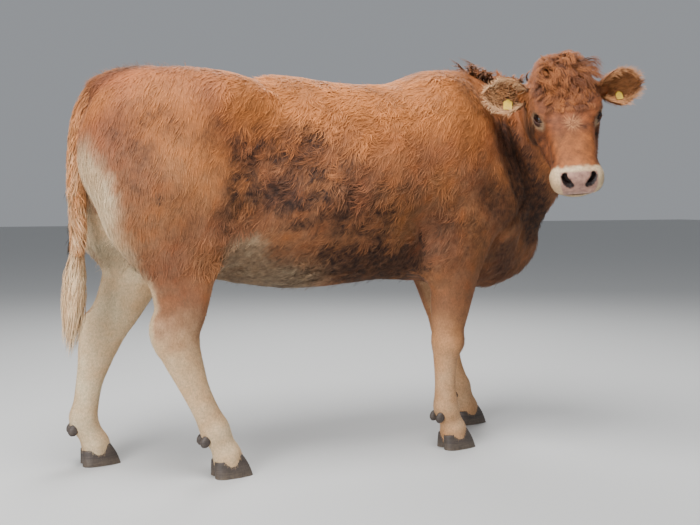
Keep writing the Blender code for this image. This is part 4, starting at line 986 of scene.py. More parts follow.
def hoops(rings, around, turned_over=False):
    """Quads between rings of points that follow one another."""
    faces = []
    for i in range(0, rings * around, around):
        for j in range(around):
            k = (j + 1) % around
            quad = (i + j, i + k, i + around + k, i + around + j)
            faces.append(quad[:1] + quad[:0:-1] if turned_over else quad)
    return faces


def tail_skin(around=22):
    """A tube round the dock, closed to a point at its end."""
    run = catmull(TAIL, 7)
    centre, radii = run[:, :3], np.maximum(run[:, 3:5] - TAIL_DEPTH, TAIL_LEAST)
    tangents = unit(np.gradient(centre, axis=0))
    rows = []
    for c, (w, d), t in zip(centre, radii, tangents):
        across = unit(np.array((0.0, 1.0, 0.0)) - t[1] * t)
        deep = np.cross(across, t)
        for j in range(around):
            a = 2 * math.pi * j / around
            rows.append(c + across * w * math.cos(a) + deep * d * math.sin(a))
    faces = hoops(len(centre) - 1, around)
    last = (len(centre) - 1) * around
    rows.append(centre[-1] + tangents[-1] * 0.012)
    tip = len(rows) - 1
    for j in range(around):
        k = (j + 1) % around
        faces.append((last + j, last + k, tip, tip))
    return np.array(rows), np.array(faces)


# Meshes from arrays


def fast_mesh(name, points, faces, material, normals=None):
    """A mesh object from arrays. A face row whose last two numbers are equal is a triangle."""
    faces = np.asarray(faces, np.int64)
    points = np.asarray(points, float) + SHIFT
    if faces.shape[1] == 4:
        three = faces[:, 2] == faces[:, 3]
        sizes = np.where(three, 3, 4)
        corners = faces[np.arange(4)[None] < sizes[:, None]]
    else:
        sizes = np.full(len(faces), 3)
        corners = faces.ravel()
    mesh = bpy.data.meshes.new(name)
    mesh.vertices.add(len(points))
    mesh.vertices.foreach_set("co", points.astype(np.float32).ravel())
    mesh.loops.add(len(corners))
    mesh.loops.foreach_set("vertex_index", corners.astype(np.int32))
    mesh.polygons.add(len(faces))
    starts = np.concatenate([[0], np.cumsum(sizes)[:-1]]).astype(np.int32)
    mesh.polygons.foreach_set("loop_start", starts)
    mesh.update(calc_edges=True)
    mesh.polygons.foreach_set("use_smooth", np.ones(len(faces), bool))
    mesh.materials.append(material)
    if normals is not None:
        mesh.normals_split_custom_set_from_vertices(unit(normals).tolist())
    obj = bpy.data.objects.new(name, mesh)
    bpy.context.scene.collection.objects.link(obj)
    return obj


def add_colours(obj, name, rows):
    layer = obj.data.attributes.new(name, "FLOAT_COLOR", "POINT")
    layer.data.foreach_set("color", np.asarray(rows, np.float32).ravel())


def add_uv(obj, uv):
    """UV for every corner, from one UV for each point or each corner."""
    layer = obj.data.uv_layers.new(name="OFBake")
    count = len(obj.data.loops)
    if len(uv) != count:
        index = np.empty(count, np.int32)
        obj.data.loops.foreach_get("vertex_index", index)
        uv = uv[index]
    layer.data.foreach_set("uv", np.asarray(uv, np.float32).ravel())


def facing(normals):
    """Which of six ways a normal faces most."""
    axis = np.abs(normals).argmax(1)
    return axis * 2 + (normals[np.arange(len(normals)), axis] > 0)


def lay_out(points, chart):
    """Sets flat charts side by side in the unit square. Gives a scale and each chart's offset."""
    boxes = []
    for c in np.unique(chart):
        flat = np.delete(points[chart == c], (c % 6) // 2, axis=1)
        low = flat.min(0) - 0.004
        boxes.append((c, low, flat.max(0) - low + 0.004))
    boxes.sort(key=lambda b: -b[2][1])
    side = math.sqrt(sum(b[2][0] * b[2][1] for b in boxes)) * 1.05
    while True:
        side = max(side * 1.03, max(b[2][0] for b in boxes))
        x = y = row = 0.0
        offsets = {}
        for c, low, size in boxes:
            if x + size[0] > side:
                x, y, row = 0.0, y + row, 0.0
            offsets[c] = np.array((x, y)) - low
            x += size[0]
            row = max(row, size[1])
        if y + row <= side:
            return side, offsets


def unwrap(points, chart, layout):
    side, offsets = layout
    uv = np.zeros((len(points), 2))
    for c, offset in offsets.items():
        here = chart == c
        uv[here] = (np.delete(points[here], (c % 6) // 2, axis=1) + offset) / side
    return 0.004 + 0.992 * uv


# Waves of chance


def drift(points, size, seed, count=9):
    """A smooth random number between about -1 and 1, with features of a given size."""
    dice = np.random.default_rng(seed)
    ways = unit(dice.normal(size=(count, 3))) * (2 * math.pi / size) * dice.uniform(0.6, 1.4, (count, 1))
    phase = dice.uniform(0, 2 * math.pi, count)
    return np.sin(points @ ways.T + phase).sum(1) / math.sqrt(count) * 0.8


def spot(points, centre, radii, edge=0.35):
    """1 inside an ellipsoid, 0 outside, soft over its edge."""
    k = np.linalg.norm((points - np.asarray(centre)) / np.asarray(radii), axis=1)
    return 1 - ease(k, 1 - edge, 1 + edge)


# Places on the animal


def on_legs(label):
    return (label >= FIRST_LEG) & (label <= LAST_LEG)


def part_of(points):
    """The label of trunk, head or one of the legs for each point."""
    label = np.full(len(points), TRUNK_LABEL)
    label[past_head(points) < 0] = HEAD_LABEL
    low = points[:, 2] < LEG_TOP
    front = points[:, 0] > 0.0
    left = points[:, 1] > 0.0
    for n, name in enumerate(STRIDES):
        rows = np.array(leg_stations(name))[:, :3]
        here = low & (front == name.startswith("front")) & (left == name.endswith("left"))
        mine = here & (leg_distance(points, rows) < LEG_NEAR) & (label == TRUNK_LABEL)
        label[mine] = FIRST_LEG + n
    return label


def leg_distance(points, rows):
    best = np.full(len(points), 9.0)
    for row in rows:
        best = np.minimum(best, np.linalg.norm(points - row, axis=1))
    return best


def along_skin(way, normals):
    return way - (way * normals).sum(1, keepdims=True) * normals


def lie(points, normals, label):
    """The way the hair points, along the skin."""
    n = len(points)
    x, y, z = points.T
    side = np.sign(y)
    way = columns(n, -0.80, 0.10 * side, -0.20 - 0.65 * np.abs(normals[:, 1]))
    way = blend(way, columns(n, -0.25, 0.05 * side, -0.95), ease(x, -0.42, -0.66))
    way = blend(way, columns(n, -0.42, 0.0, -0.88), ease(x, 0.30, 0.52))
    way[:, 0] -= 0.8 * ease(-normals[:, 2], 0.5, 0.9)
    way = blend(way, np.array((-0.10, 0.0, -1.0)), ease(z, 0.70, 0.56) * on_legs(label))
    head = label == HEAD_LABEL
    if head.any():
        way[head] = head_lie(in_head(points[head])) @ np.array(head_matrix()).T
    way = along_skin(unit(way), normals)
    short = np.linalg.norm(way, axis=1) < 0.05
    way[short] = np.cross(normals[short], (0.0, 1.0, 0.0))
    return unit(way)


def head_lie(q):
    """The way of the hair in the head's frame: up to the poll, down the nose, out of the whorl."""
    n, side = len(q), np.sign(q[:, 1])
    from_whorl = q - np.array(WHORL)
    near_whorl = 1 - ease(np.linalg.norm(from_whorl[:, :2], axis=1), 0.09, 0.15)
    brow = ease(q[:, 2], -0.075, -0.035) * near_whorl
    cheek = ease(-q[:, 2], 0.05, 0.10) * ease(-q[:, 0], -0.36, -0.28)
    up, down = columns(n, -0.9, 0.35 * side, 0.1), columns(n, 0.95, 0.28 * side, 0.0)
    way = blend(up, down, ease(q[:, 0], WHORL[0] - 0.02, WHORL[0] + 0.05))
    way = blend(way, unit(from_whorl), brow)
    return blend(way, columns(n, -0.55, 0.10 * side, -0.85), cheek)


def off_line(points, start, end):
    """Distance to the line between two places."""
    a, b = np.array(start), np.array(end)
    t = np.clip((points - a) @ (b - a) / ((b - a) @ (b - a)), 0, 1)
    return np.linalg.norm(points - a - t[:, None] * (b - a), axis=1)


def band(points, start, end, radius, edge=0.5):
    """1 along a band between two places (x, z) of the side view, 0 outside, soft over its edge."""
    return 1 - ease(off_line(points[:, [0, 2]], start, end) / radius, 1 - edge, 1 + edge)


def shaggy(points):
    """Where the coat is long, wet and curled: 0 to 1."""
    loin = band(points, (-0.30, 1.16), (0.30, 1.10), 0.13)
    patch = np.maximum(band(points, (-0.36, 1.08), (0.15, 0.88), 0.15), loin * 0.9)
    back = band(points, (-0.45, 1.24), (0.40, 1.28), 0.10) * 0.55
    thigh = band(points, (-0.46, 0.86), (-0.60, 0.70), 0.06)
    edge = np.maximum(band(points, (-0.20, 0.68), (0.20, 0.68), 0.09), thigh) * 0.75
    neck = band(points, (0.40, 1.25), (0.60, 1.10), 0.14) * 0.5
    mottle = 0.75 + 0.5 * drift(points, 0.16, 21)
    side = ease(np.abs(points[:, 1]) / 0.25, 0.0, 0.4)
    return np.clip(np.maximum.reduce([patch, back, edge, neck]) * mottle, 0, 1) * side


def pale_share(points, normals, label, leg, wobble, fine):
    """How pale the coat of trunk and legs is, and the share of the flank's pale patch."""
    x, y, z = points.T
    trunk_here = label == TRUNK_LABEL
    inner = ease(-normals[:, 1] * np.sign(y), 0.1, 0.8)
    hind = x < -0.3
    rough_z = z + 0.03 * wobble
    shin = np.where(hind, ease(rough_z + 0.015 * fine, 0.58, 0.36), ease(rough_z, 0.50, 0.20))
    # Painted fill light: the coat turns paler and less saturated low on the body, as in the cool light of
    # shade.
    tan = (0.11 + 0.06 * fine) * ease(z + 0.05 * wobble, 1.18, 0.86)
    groin = inner * ease(z, 0.74, 0.64) * np.where(hind, 1.0, 0.3)
    rear = ease(-normals[:, 0] + 0.10 * wobble + 0.05 * fine, 0.45, 0.88)
    flank = np.maximum(
        band(points, (-0.45, 0.71), (-0.42, 0.64), 0.075, 0.4),
        band(points, (-0.45, 0.65), (-0.24, 0.61), 0.065, 0.4),
    )
    belly = ease(-normals[:, 2], 0.35, 0.85) * (z < 0.80) * ease(-x, 0.05, 0.25)
    pale = np.maximum.reduce([
        leg * (0.20 * ease(rough_z, 0.62, 0.46) + shin * np.where(hind, 0.66, 0.34)),
        (label <= LAST_LEG) * (label != HEAD_LABEL) * tan,
        leg * inner * np.where(hind, 1.0, 0.55),
        trunk_here * groin * (np.abs(x + 0.20) > 0.30),
        hind * rear * ease(z, 1.12, 0.98) * 0.90,
        hind * (inner > 0.5) * ease(z, 1.0, 0.84),
        flank * (0.80 + 0.2 * fine),
        belly * trunk_here * 0.75,
    ])
    return pale, flank


def dark_share(points, normals, label, leg, wobble, fine, tiny):
    """How dark the coat of trunk and legs is, much of it painted shade: darker low on the body,
    in bands, along the folds and beside the tail, and lighter in bands of painted light.
    """
    x, y, z = points.T
    # Painted shade: darker towards the belly, less so down the front of the thigh.
    low = ease(z + 0.04 * wobble, 1.12, 0.92)
    low = low * (1 - 0.45 * band(points, (-0.56, 1.00), (-0.55, 0.64), 0.08, 0.7))
    dark = 0.16 + 0.34 * low + 0.14 * wobble + 0.10 * fine
    dark = dark - on_legs(label) * 0.26 * ease(z, 0.54, 0.40)
    away = ease(y, -0.12, 0.08)
    # Bands of painted shade, weaker on the animal's left.
    for start, end, radius, share, far in PAINTED_SHADE_BANDS:
        share = share + (far - share) * away
        rough = 0.10 if start[0] > 0.4 else 0.30
        shade = band(points, start, end, radius, 0.65) * share * (1 + rough * (fine + tiny))
        dark = np.maximum(dark, shade)
    # Bands of painted light.
    for start, end, radius, share in PAINTED_LIGHT_BANDS:
        dark = dark - band(points, start, end, radius, 0.65) * share * (1 - 0.5 * away)
    croup = band(points, (-0.90, 1.18), (-0.76, 1.29), 0.05, 0.65)
    dark = np.maximum(dark, croup * (1 - ease(np.abs(y), 0.04, 0.12)) * 0.75)
    # Painted shadow in the cleft between the buttocks, where the tail hangs.
    dark = np.maximum(dark, spot(points, (-0.82, 0, 1.08), (0.12, 0.055, 0.24), 0.5) * 0.8)
    # Painted shade along each fold of the skin.
    for run, _, soft in FOLDS:
        gap = np.minimum.reduce([off_line(points, a, b) for a, b in zip(run[:-1], run[1:])])
        dark = np.maximum(dark, (1 - ease(gap, 0.2 * soft, 0.9 * soft)) * 0.95)
    knee = spot(points * (1, 0, 1), (0.32, 0, 0.40), (0.6, 1, 0.10), 0.6)
    return np.maximum(dark, leg * (x > 0) * knee * ease(normals[:, 0], -0.1, 0.7) * 0.60)


def head_marks(points, marks, fine, tiny):
    """The head's own markings, which run into the body's where the neck begins, with painted shade on the
    cheeks and a painted highlight on the bridge of the nose.
    """
    pale, dark, gold = marks
    q = in_head(points)
    across = np.abs(q[:, 1])
    edge = q[:, 0] + 0.020 * ease(across, 0.045, 0.080) + 0.05 * ease(-q[:, 2], 0.07, 0.13)
    ring = ease(edge + 0.006 * tiny, 0.414, 0.432)
    eyes = np.zeros(len(q))
    for s in (-1, 1):
        off = (q - np.array(mirrored(EYE, s))) * (0.85, 1.0, 1.15)
        eyes = np.maximum(eyes, (1 - ease(np.linalg.norm(off, axis=1), 0.026, 0.046)) * 0.62)
    jaw = ease(-q[:, 2], 0.17, 0.22) * ease(q[:, 0], 0.16, 0.26) * (1 - ease(across, 0.04, 0.07))
    off = q - np.array(WHORL)
    turn = np.arctan2(off[:, 1], off[:, 0])
    star = 1 - ease(np.linalg.norm(off, axis=1), 0.014, 0.034)
    ray = 0.5 + 0.5 * np.sin(15 * turn + 1.5 * np.sin(3 * turn))
    pale = np.maximum.reduce([ring * 0.95, eyes, jaw * 0.5, 0.22 * star * ray])
    # Painted shade on the lower cheeks, darker on the right side.
    cheek = ease(-q[:, 2], 0.06, 0.14) * (1 - ease(q[:, 0], 0.34, 0.40))
    cheek = cheek * (1 - 0.55 * (q[:, 1] > 0))
    poll = 1 - ease(q[:, 0], 0.13, 0.22)
    # Painted highlight on the bridge of the nose.
    lit_bridge = ease(q[:, 2], -0.055, -0.02) * ease(q[:, 0], 0.26, 0.32)
    own = np.clip(0.46 + 0.40 * cheek + 0.16 * poll + 0.24 * tiny + 0.16 * fine, 0, 1)
    inner = ease(-past_head(points), 0.0, 0.09)
    dark = blend(dark, own, inner)
    dark *= (1 - 0.35 * lit_bridge) * (1 - 0.9 * ring) * (1 - 0.8 * star * ray) * (1 - 0.6 * eyes)
    dark += 0.30 * star * (1 - ray)
    return pale, dark, blend(gold, 0.10 + 0.30 * lit_bridge + 0.5 * star * ray, inner)


def markings(points, normals, label):
    """Pale, dark and golden shares of the coat, the same for skin and hair. The dark share carries
    painted shade, and the golden share painted highlights on the back and rump.
    """
    z = points[:, 2]
    wobble, fine, tiny = (drift(points, size, seed) for size, seed in MARK_WAVES)
    leg = on_legs(label) * ease(z, 0.662, 0.610)
    pale, flank = pale_share(points, normals, label, leg, wobble, fine)
    dark = dark_share(points, normals, label, leg, wobble, fine, tiny)
    trunk_here = label == TRUNK_LABEL
    # Painted shade under the belly and over the pale patch low on the flank.
    under = ease(-normals[:, 2], 0.1, 0.7) * trunk_here * (z < 0.75)
    dark = dark * (1 - 0.75 * pale) + (0.34 * flank + 0.30 * under) * trunk_here
    # Painted highlight as gold along the top of the back and on the rump; the legs' gold and the random
    # tone are the coat's own.
    gold = np.maximum.reduce([
        band(points, (-0.40, 1.22), (0.35, 1.24), 0.14, 0.7) * 0.75,
        band(points, (-0.70, 1.16), (-0.62, 0.98), 0.12, 0.7) * 0.65,
        leg * ease(z, 0.60, 0.35) * 0.85,
        0.30 + 0.3 * wobble,
    ])
    marks = np.stack([pale, dark, gold])
    head = label == HEAD_LABEL
    if head.any():
        marks[:, head] = head_marks(points[head], marks[:, head], fine[head], tiny[head])
    return np.clip(marks.T, 0, 1)


def bare_parts(points, label):
    """Nose pad, rims of the lids and lips, and inside of nostrils, where the near-black is painted shade.
    """
    pad, rim, deep = (np.zeros(len(points)) for _ in range(3))
    fine = drift(points, 0.02, 8)
    head = label == HEAD_LABEL
    if head.any():
        q = in_head(points[head])
        across = np.abs(q[:, 1])
        front = ease(q[:, 0] + 0.25 * np.maximum(across - 0.030, 0) + 0.001 * fine[head], 0.438, 0.446)
        sides = 1 - ease(across + 0.28 * np.maximum(-0.060 - q[:, 2], 0), 0.056, 0.063)
        low = ease(q[:, 2], -0.112, -0.104)
        pad[head] = front * sides * low
        lip = ease(0.004 - np.abs(q[:, 2] - MOUTH_LINE), -0.006, 0.002) * ease(q[:, 0], 0.36, 0.40)
        for s in (-1, 1):
            d = np.linalg.norm(q - np.array(mirrored(EYE, s)), axis=1)
            rim[head] = np.maximum(rim[head], 1 - ease(d, 0.0235, 0.0275))
            run, inner = nostril_runs(s)
            hole = np.minimum(tube(q, run, cuts=3), tube(q, inner, cuts=2))
            deep[head] = np.maximum(deep[head], 1 - ease(hole, 0.0036, 0.0056))
        rim[head] = np.maximum(rim[head], lip * 0.9)
    return np.stack([pad, rim, deep], 1)


# Hair


def scatter(mesh_data, spacing, keep, seed):
    """Even random places on the skin, with their normals. keep gives each place a share."""
    points, faces, normals = mesh_data
    tri = np.concatenate([faces[:, [0, 1, 2]], faces[:, [0, 2, 3]]])
    tri = tri[tri[:, 0] != tri[:, 2]]
    a, b, c = points[tri[:, 0]], points[tri[:, 1]], points[tri[:, 2]]
    area = np.linalg.norm(np.cross(b - a, c - a), axis=1) / 2
    dice = np.random.default_rng(seed)
    total = int(area.sum() / spacing**2 * 2.2)
    pick = np.searchsorted(np.cumsum(area) / area.sum(), dice.random(total))
    pick = np.minimum(pick, len(tri) - 1)
    u, v = dice.random(total), dice.random(total)
    over = u + v > 1
    u[over], v[over] = 1 - u[over], 1 - v[over]
    w = 1 - u - v
    place = w[:, None] * a[pick] + u[:, None] * b[pick] + v[:, None] * c[pick]
    na, nb, nc = (normals[tri[pick, i]] for i in range(3))
    normal = unit(w[:, None] * na + u[:, None] * nb + v[:, None] * nc)
    cell = np.floor(place / spacing + 0.5 * dice.random(3)).astype(np.int64)
    key = np.bitwise_xor.reduce(cell * np.array(CELL_PRIMES), axis=1)
    _, first = np.unique(key, return_index=True)
    chosen = np.sort(first)
    place, normal = place[chosen], normal[chosen]
    held = dice.random(len(place)) < keep(place, normal)
    return place[held], normal[held]


def tufts(paths, widths, ups, deep=0.42):
    """Closed three-sided tufts along paths of equal length, drawn out to a point."""
    n, k, _ = paths.shape
    along = unit(np.gradient(paths, axis=1))
    side = unit(np.cross(along, ups))
    over = np.cross(side, along)
    w = widths[:, :-1, None] / 2
    rings = np.stack(
        [
            paths[:, :-1] - side[:, :-1] * w - over[:, :-1] * w * deep,
            paths[:, :-1] + side[:, :-1] * w - over[:, :-1] * w * deep,
            paths[:, :-1] + over[:, :-1] * w * deep,
        ],
        2,
    )
    flank, top = side[:, :-1] * 0.9, over[:, :-1]
    outward = np.stack([-flank + top * 0.25, flank + top * 0.25, top], 2)
    per = 3 * (k - 1) + 1
    points = np.concatenate([rings.reshape(n, -1, 3), paths[:, -1:]], 1)
    outs = np.concatenate([outward.reshape(n, -1, 3), over[:, -1:]], 1)
    local = [(0, 1, 2)]
    for i in range(k - 2):
        a, b = 3 * i, 3 * i + 3
        for j in range(3):
            m = (j + 1) % 3
            local += [(a + j, b + j, b + m), (a + j, b + m, a + m)]
    a = 3 * (k - 2)
    for j in range(3):
        local.append((a + j, per - 1, a + (j + 1) % 3))
    faces = (np.arange(n)[:, None, None] * per + np.array(local)[None]).reshape(-1, 3)
    share = np.concatenate([np.repeat(np.arange(k - 1) / (k - 1), 3), [1.0]])
    across = np.concatenate([np.tile((0.0, 1.0, 0.5), k - 1), [0.5]])
    return points.reshape(-1, 3), faces, outs.reshape(-1, 3), per, share, across


def hair_object(name, paths, widths, ups, skin_normals, colours, material, soft=0.6):
    """A coat piece from its tufts' paths. colours holds pale, dark and gold for each tuft."""
    points, faces, outs, per, share, across = tufts(paths, widths, ups)
    n = len(paths)
    base = np.repeat(skin_normals, per, axis=0)
    obj = fast_mesh(name, points, faces, material, base * soft + outs * (1 - soft))
    dice = np.random.default_rng(len(name) + n)
    chance = np.repeat(dice.random(n), per)
    tip = np.tile(share, n)
    add_colours(obj, "marks", np.concatenate([np.repeat(colours, per, axis=0), np.ones((n * per, 1))], 1))
    add_colours(obj, "strand", np.stack([chance, tip, np.tile(across, n), chance * 0 + 1], 1))
    roots = paths[:, 0]
    chart = facing(skin_normals)
    layout = lay_out(roots, chart)
    uv = unwrap(roots, chart, layout)
    patch = (points - np.repeat(roots, per, axis=0)).reshape(n, per, 3)
    reach = np.abs(patch).max((1, 2))[:, None]
    axis = chart // 2
    flat = np.empty((n, per, 2))
    for a in range(3):
        here = axis == a
        flat[here] = np.delete(patch[here], a, axis=2)
    uv = uv[:, None, :] + flat / reach[:, :, None] * UV_PATCH
    add_uv(obj, uv.reshape(-1, 2))
    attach(obj, "root")
    return obj


def lay_tufts(place, normal, way, long, wide, lift, curl, rings, seed, sink=0.0025):
    """Paths and widths of tufts that lie along the skin, curl sideways and rise to their tips."""
    n = len(place)
    dice = np.random.default_rng(seed)
    t = np.linspace(0, 1, rings)[None, :, None]
    side = np.cross(normal, way)[:, None]
    phase = dice.normal(0, 0.5, (n, 1, 1)) + 2.2 * drift(place, 0.06, seed + 1)[:, None, None]
    swing = curl[:, None, None] * (np.sin(2.6 * t + phase) - np.sin(phase))
    rise = lift[:, None, None] * np.sin(np.minimum(t * 1.25, 1) * math.pi * 0.5) ** 0.8
    paths = place[:, None] + way[:, None] * long[:, None, None] * t
    paths = paths + side * swing * long[:, None, None] + normal[:, None] * (rise - sink * (1 - t) ** 3)
    shape = np.minimum(1, 0.70 + 1.2 * np.linspace(0, 1, rings)) * (1 - np.linspace(0, 1, rings) ** 2.2)
    widths = wide[:, None] * shape[None]
    ups = np.repeat(normal[:, None], rings, axis=1)
    return paths, widths, ups


def turned(way, normal, angle):
    """Ways turned about the normals."""
    return way * np.cos(angle)[:, None] + np.cross(normal, way) * np.sin(angle)[:, None]


def apart(spacing):
    return spacing * 1


def body_coat(mesh_data, material):
    """The coat of the trunk and neck: flat short tufts under longer curled ones."""
    for layer, (name, spacing, rings) in enumerate(BODY_LAYERS):

        def keep(p, n):
            label = part_of(p)
            behind = ease(past_head(p), -0.075, -0.015) * (1 - ease(in_head(p)[:, 0], 0.14, 0.20))
            body = np.where(label == HEAD_LABEL, behind, label == TRUNK_LABEL)
            return body * (0.26 + 0.74 * shaggy(p)) if rings > 2 else body

        place, normal = scatter(mesh_data, apart(spacing), keep, 31 + layer)
        label = part_of(place)
        rough = shaggy(place)
        way = lie(place, normal, label * 0)
        dice = np.random.default_rng(70 + layer)
        angle = (0.30 + 0.75 * rough) * drift(place, 0.075, 41)
        angle = angle + (0.10 + 0.45 * rough) * drift(place, 0.028, 42)
        way = turned(way, normal, angle + dice.normal(0, 0.10, len(place)))
        long = (0.025 + 0.007 * rough) * dice.uniform(0.75, 1.25, len(place)) * (1.0 if rings == 2 else 1.3)
        wide = (0.0027 + 0.0010 * rough) * dice.uniform(0.7, 1.3, len(place))
        raised = 0.5 + 0.5 * drift(place, 0.045, 43)
        lift = 0.0030 + 0.0042 * rough * raised + 0.0012 * dice.random(len(place))
        curl = (0.05 + 0.22 * rough) * dice.uniform(0.6, 1.4, len(place))
        colours = markings(place, normal, label)
        # Painted highlight on the raised curls of the shaggy coat and painted shade on the flat ones
        # between them.
        colours[:, 1] += 0.45 * rough * (0.5 - raised)
        shape = (long, wide, lift, curl)
        split_coat(name, place, normal, way, shape, rings, colours, material, 50 + layer)


def split_coat(name, place, normal, way, shape, rings, colours, material, seed):
    """Parts a coat so that no piece passes the limit on triangles. The shape is the tufts'
    lengths, widths, lifts and curls."""
    each = 6 * (rings - 2) + 4
    count = int(math.ceil(len(place) * each / PIECE_TRIANGLES))
    cuts = np.quantile(place[:, 0], np.linspace(0, 1, count + 1))
    for i in range(count):
        here = (place[:, 0] >= cuts[i]) & ((place[:, 0] < cuts[i + 1]) | (i == count - 1))
        rows = [row[here] for row in (place, normal, way, *shape)]
        paths, widths, ups = lay_tufts(*rows, rings, seed)
        shades = np.clip(colours[here], 0, 1)
        hair_object(f"{name}_{i + 1}", paths, widths, ups, normal[here], shades, material)


def leg_coat(mesh_data, material):

    def keep(p, n):
        return on_legs(part_of(p)).astype(float)

    place, normal = scatter(mesh_data, apart(LEG_SPACING), keep, 90)
    label = part_of(place)
    dice = np.random.default_rng(91)
    angle = 0.16 * drift(place, 0.06, 92) + dice.normal(0, 0.10, len(place))
    way = turned(lie(place, normal, label), normal, angle)
    low = ease(place[:, 2], 0.60, 0.30)
    long = (0.018 - 0.005 * low) * dice.uniform(0.8, 1.2, len(place))
    feather = ease(place[:, 2], 0.11, 0.075)
    long = long + 0.010 * feather
    wide = (0.0030 - 0.0006 * low) * dice.uniform(0.7, 1.3, len(place))
    lift = 0.0024 - 0.0006 * low + 0.001 * dice.random(len(place))
    curl = np.full(len(place), 0.05)
    colours = markings(place, normal, label)
    split_coat("coat_legs", place, normal, way, (long, wide, lift, curl), 2, colours, material, 93)


def face_coat(mesh_data, material):

    def keep(p, n):
        label = part_of(p)
        bare = bare_parts(p, label).max(1)
        return (label == HEAD_LABEL) * (1 - ease(bare, 0.1, 0.4))

    place, normal = scatter(mesh_data, apart(FACE_SPACING), keep, 110)
    label = np.full(len(place), HEAD_LABEL)
    q = in_head(place)
    dice = np.random.default_rng(111)
    angle = 0.22 * drift(place, 0.05, 112) + dice.normal(0, 0.12, len(place))
    way = turned(lie(place, normal, label), normal, angle)
    fringe = 1 - ease(q[:, 0], 0.02, 0.14)
    brow = ease(q[:, 2], -0.09, -0.03) * (1 - ease(q[:, 0], 0.20, 0.27))
    fringe = np.maximum(fringe, 0.55 * brow)
    muzzle = ease(q[:, 0], 0.34, 0.42)
    long = (0.0150 + 0.012 * fringe - 0.0085 * muzzle) * dice.uniform(0.75, 1.25, len(place))
    way = turned(way, normal, brow * (0.9 * drift(place, 0.022, 115) + 0.5 * drift(place, 0.05, 116)))
    eye = np.minimum(*(np.linalg.norm(q - np.array(mirrored(EYE, s)), axis=1) for s in (-1, 1)))
    long *= 0.45 + 0.55 * ease(eye, 0.03, 0.07)
    wide = (0.0021 + 0.0008 * fringe - 0.0004 * muzzle) * dice.uniform(0.7, 1.3, len(place))
    lift = 0.0020 + 0.0020 * dice.random(len(place)) + 0.004 * fringe - 0.001 * muzzle
    curl = 0.06 + 0.2 * brow
    colours = markings(place, normal, label)
    split_coat("coat_face", place, normal, way, (long, wide, lift, curl), 2, colours, material, 113)


def ear_coat(side, shell, material):
    """Short hair on the back of an ear, long pale hair inside it and round its rim."""
    points, faces = shell
    normals = point_normals(points, faces)
    axis, _, opening = ear_frame(side)
    name = "left" if side > 0 else "right"
    place, normal = scatter((points, faces, normals), EAR_SPACING, lambda p, n: np.ones(len(p)), 130 + side)
    dice = np.random.default_rng(131 + side)
    inside = (normal @ opening) > 0.05
    way = axis[None] * 0.9 + opening[None] * 0.25 * inside[:, None]
    way = way + 0.2 * dice.normal(size=(len(place), 3))
    way = unit(along_skin(way, normal))
    long = np.where(inside, 0.020, 0.010) * dice.uniform(0.7, 1.4, len(place))
    wide = np.where(inside, 0.0018, 0.0021) * dice.uniform(0.7, 1.3, len(place))
    lift = np.where(inside, 0.0060, 0.0016) * dice.uniform(0.6, 1.4, len(place))
    curl = np.where(inside, 0.22, 0.06)
    paths, widths, ups = lay_tufts(place, normal, way, long, wide, lift, curl, 3, 132)
    # The left ear's darker inside is painted shade.
    pale = np.where(inside, EAR_PALE[name] * dice.uniform(0.6, 1.2, len(place)), 0.05)
    colours = columns(len(place), pale, np.where(inside, EAR_DARK_AND_SHADE[name], 0.30), 0.80)
    normal = unit(normal + (0.0, 0.0, 0.6))
    hair_object("coat_ear_" + name, paths, widths, ups, normal, np.clip(colours, 0, 1), material)
    n = FRINGE_HAIRS
    share = dice.uniform(0.02, 0.92, n)
    turn = np.where(dice.random(n) < 0.5, -1, 1) * dice.uniform(0.80, 1.0, n)
    place = np.array([ear_place(side, s, t, 0.003) for s, t in zip(share, turn)])
    middle = np.array([ear_place(side, s, 0, 0.003) for s in share])
    inward = unit(middle - place)
    way = axis[None] * 0.75 + opening[None] * 0.55 + inward * dice.uniform(-0.7, 0.6, (n, 1))
    way = unit(way + 0.15 * dice.normal(size=(n, 3)))
    up = unit(np.cross(way, axis[None] + 0.01))
    long = dice.uniform(0.018, 0.038, n)
    shape = (long, np.full(n, 0.0014), 0.10 * long, np.full(n, 0.15))
    paths, widths, ups = lay_tufts(place, up, way, *shape, 5, 133, sink=0.0)
    colours = columns(n, (EAR_PALE[name] + 0.15) * dice.uniform(0.7, 1.4, n), 0.05, 0.8)
    lit = np.repeat(unit(opening + (0.0, 0.0, 0.8))[None], n, axis=0)
    hair_object("ear_fringe_" + name, paths, widths, ups, lit, np.clip(colours, 0, 1), material)


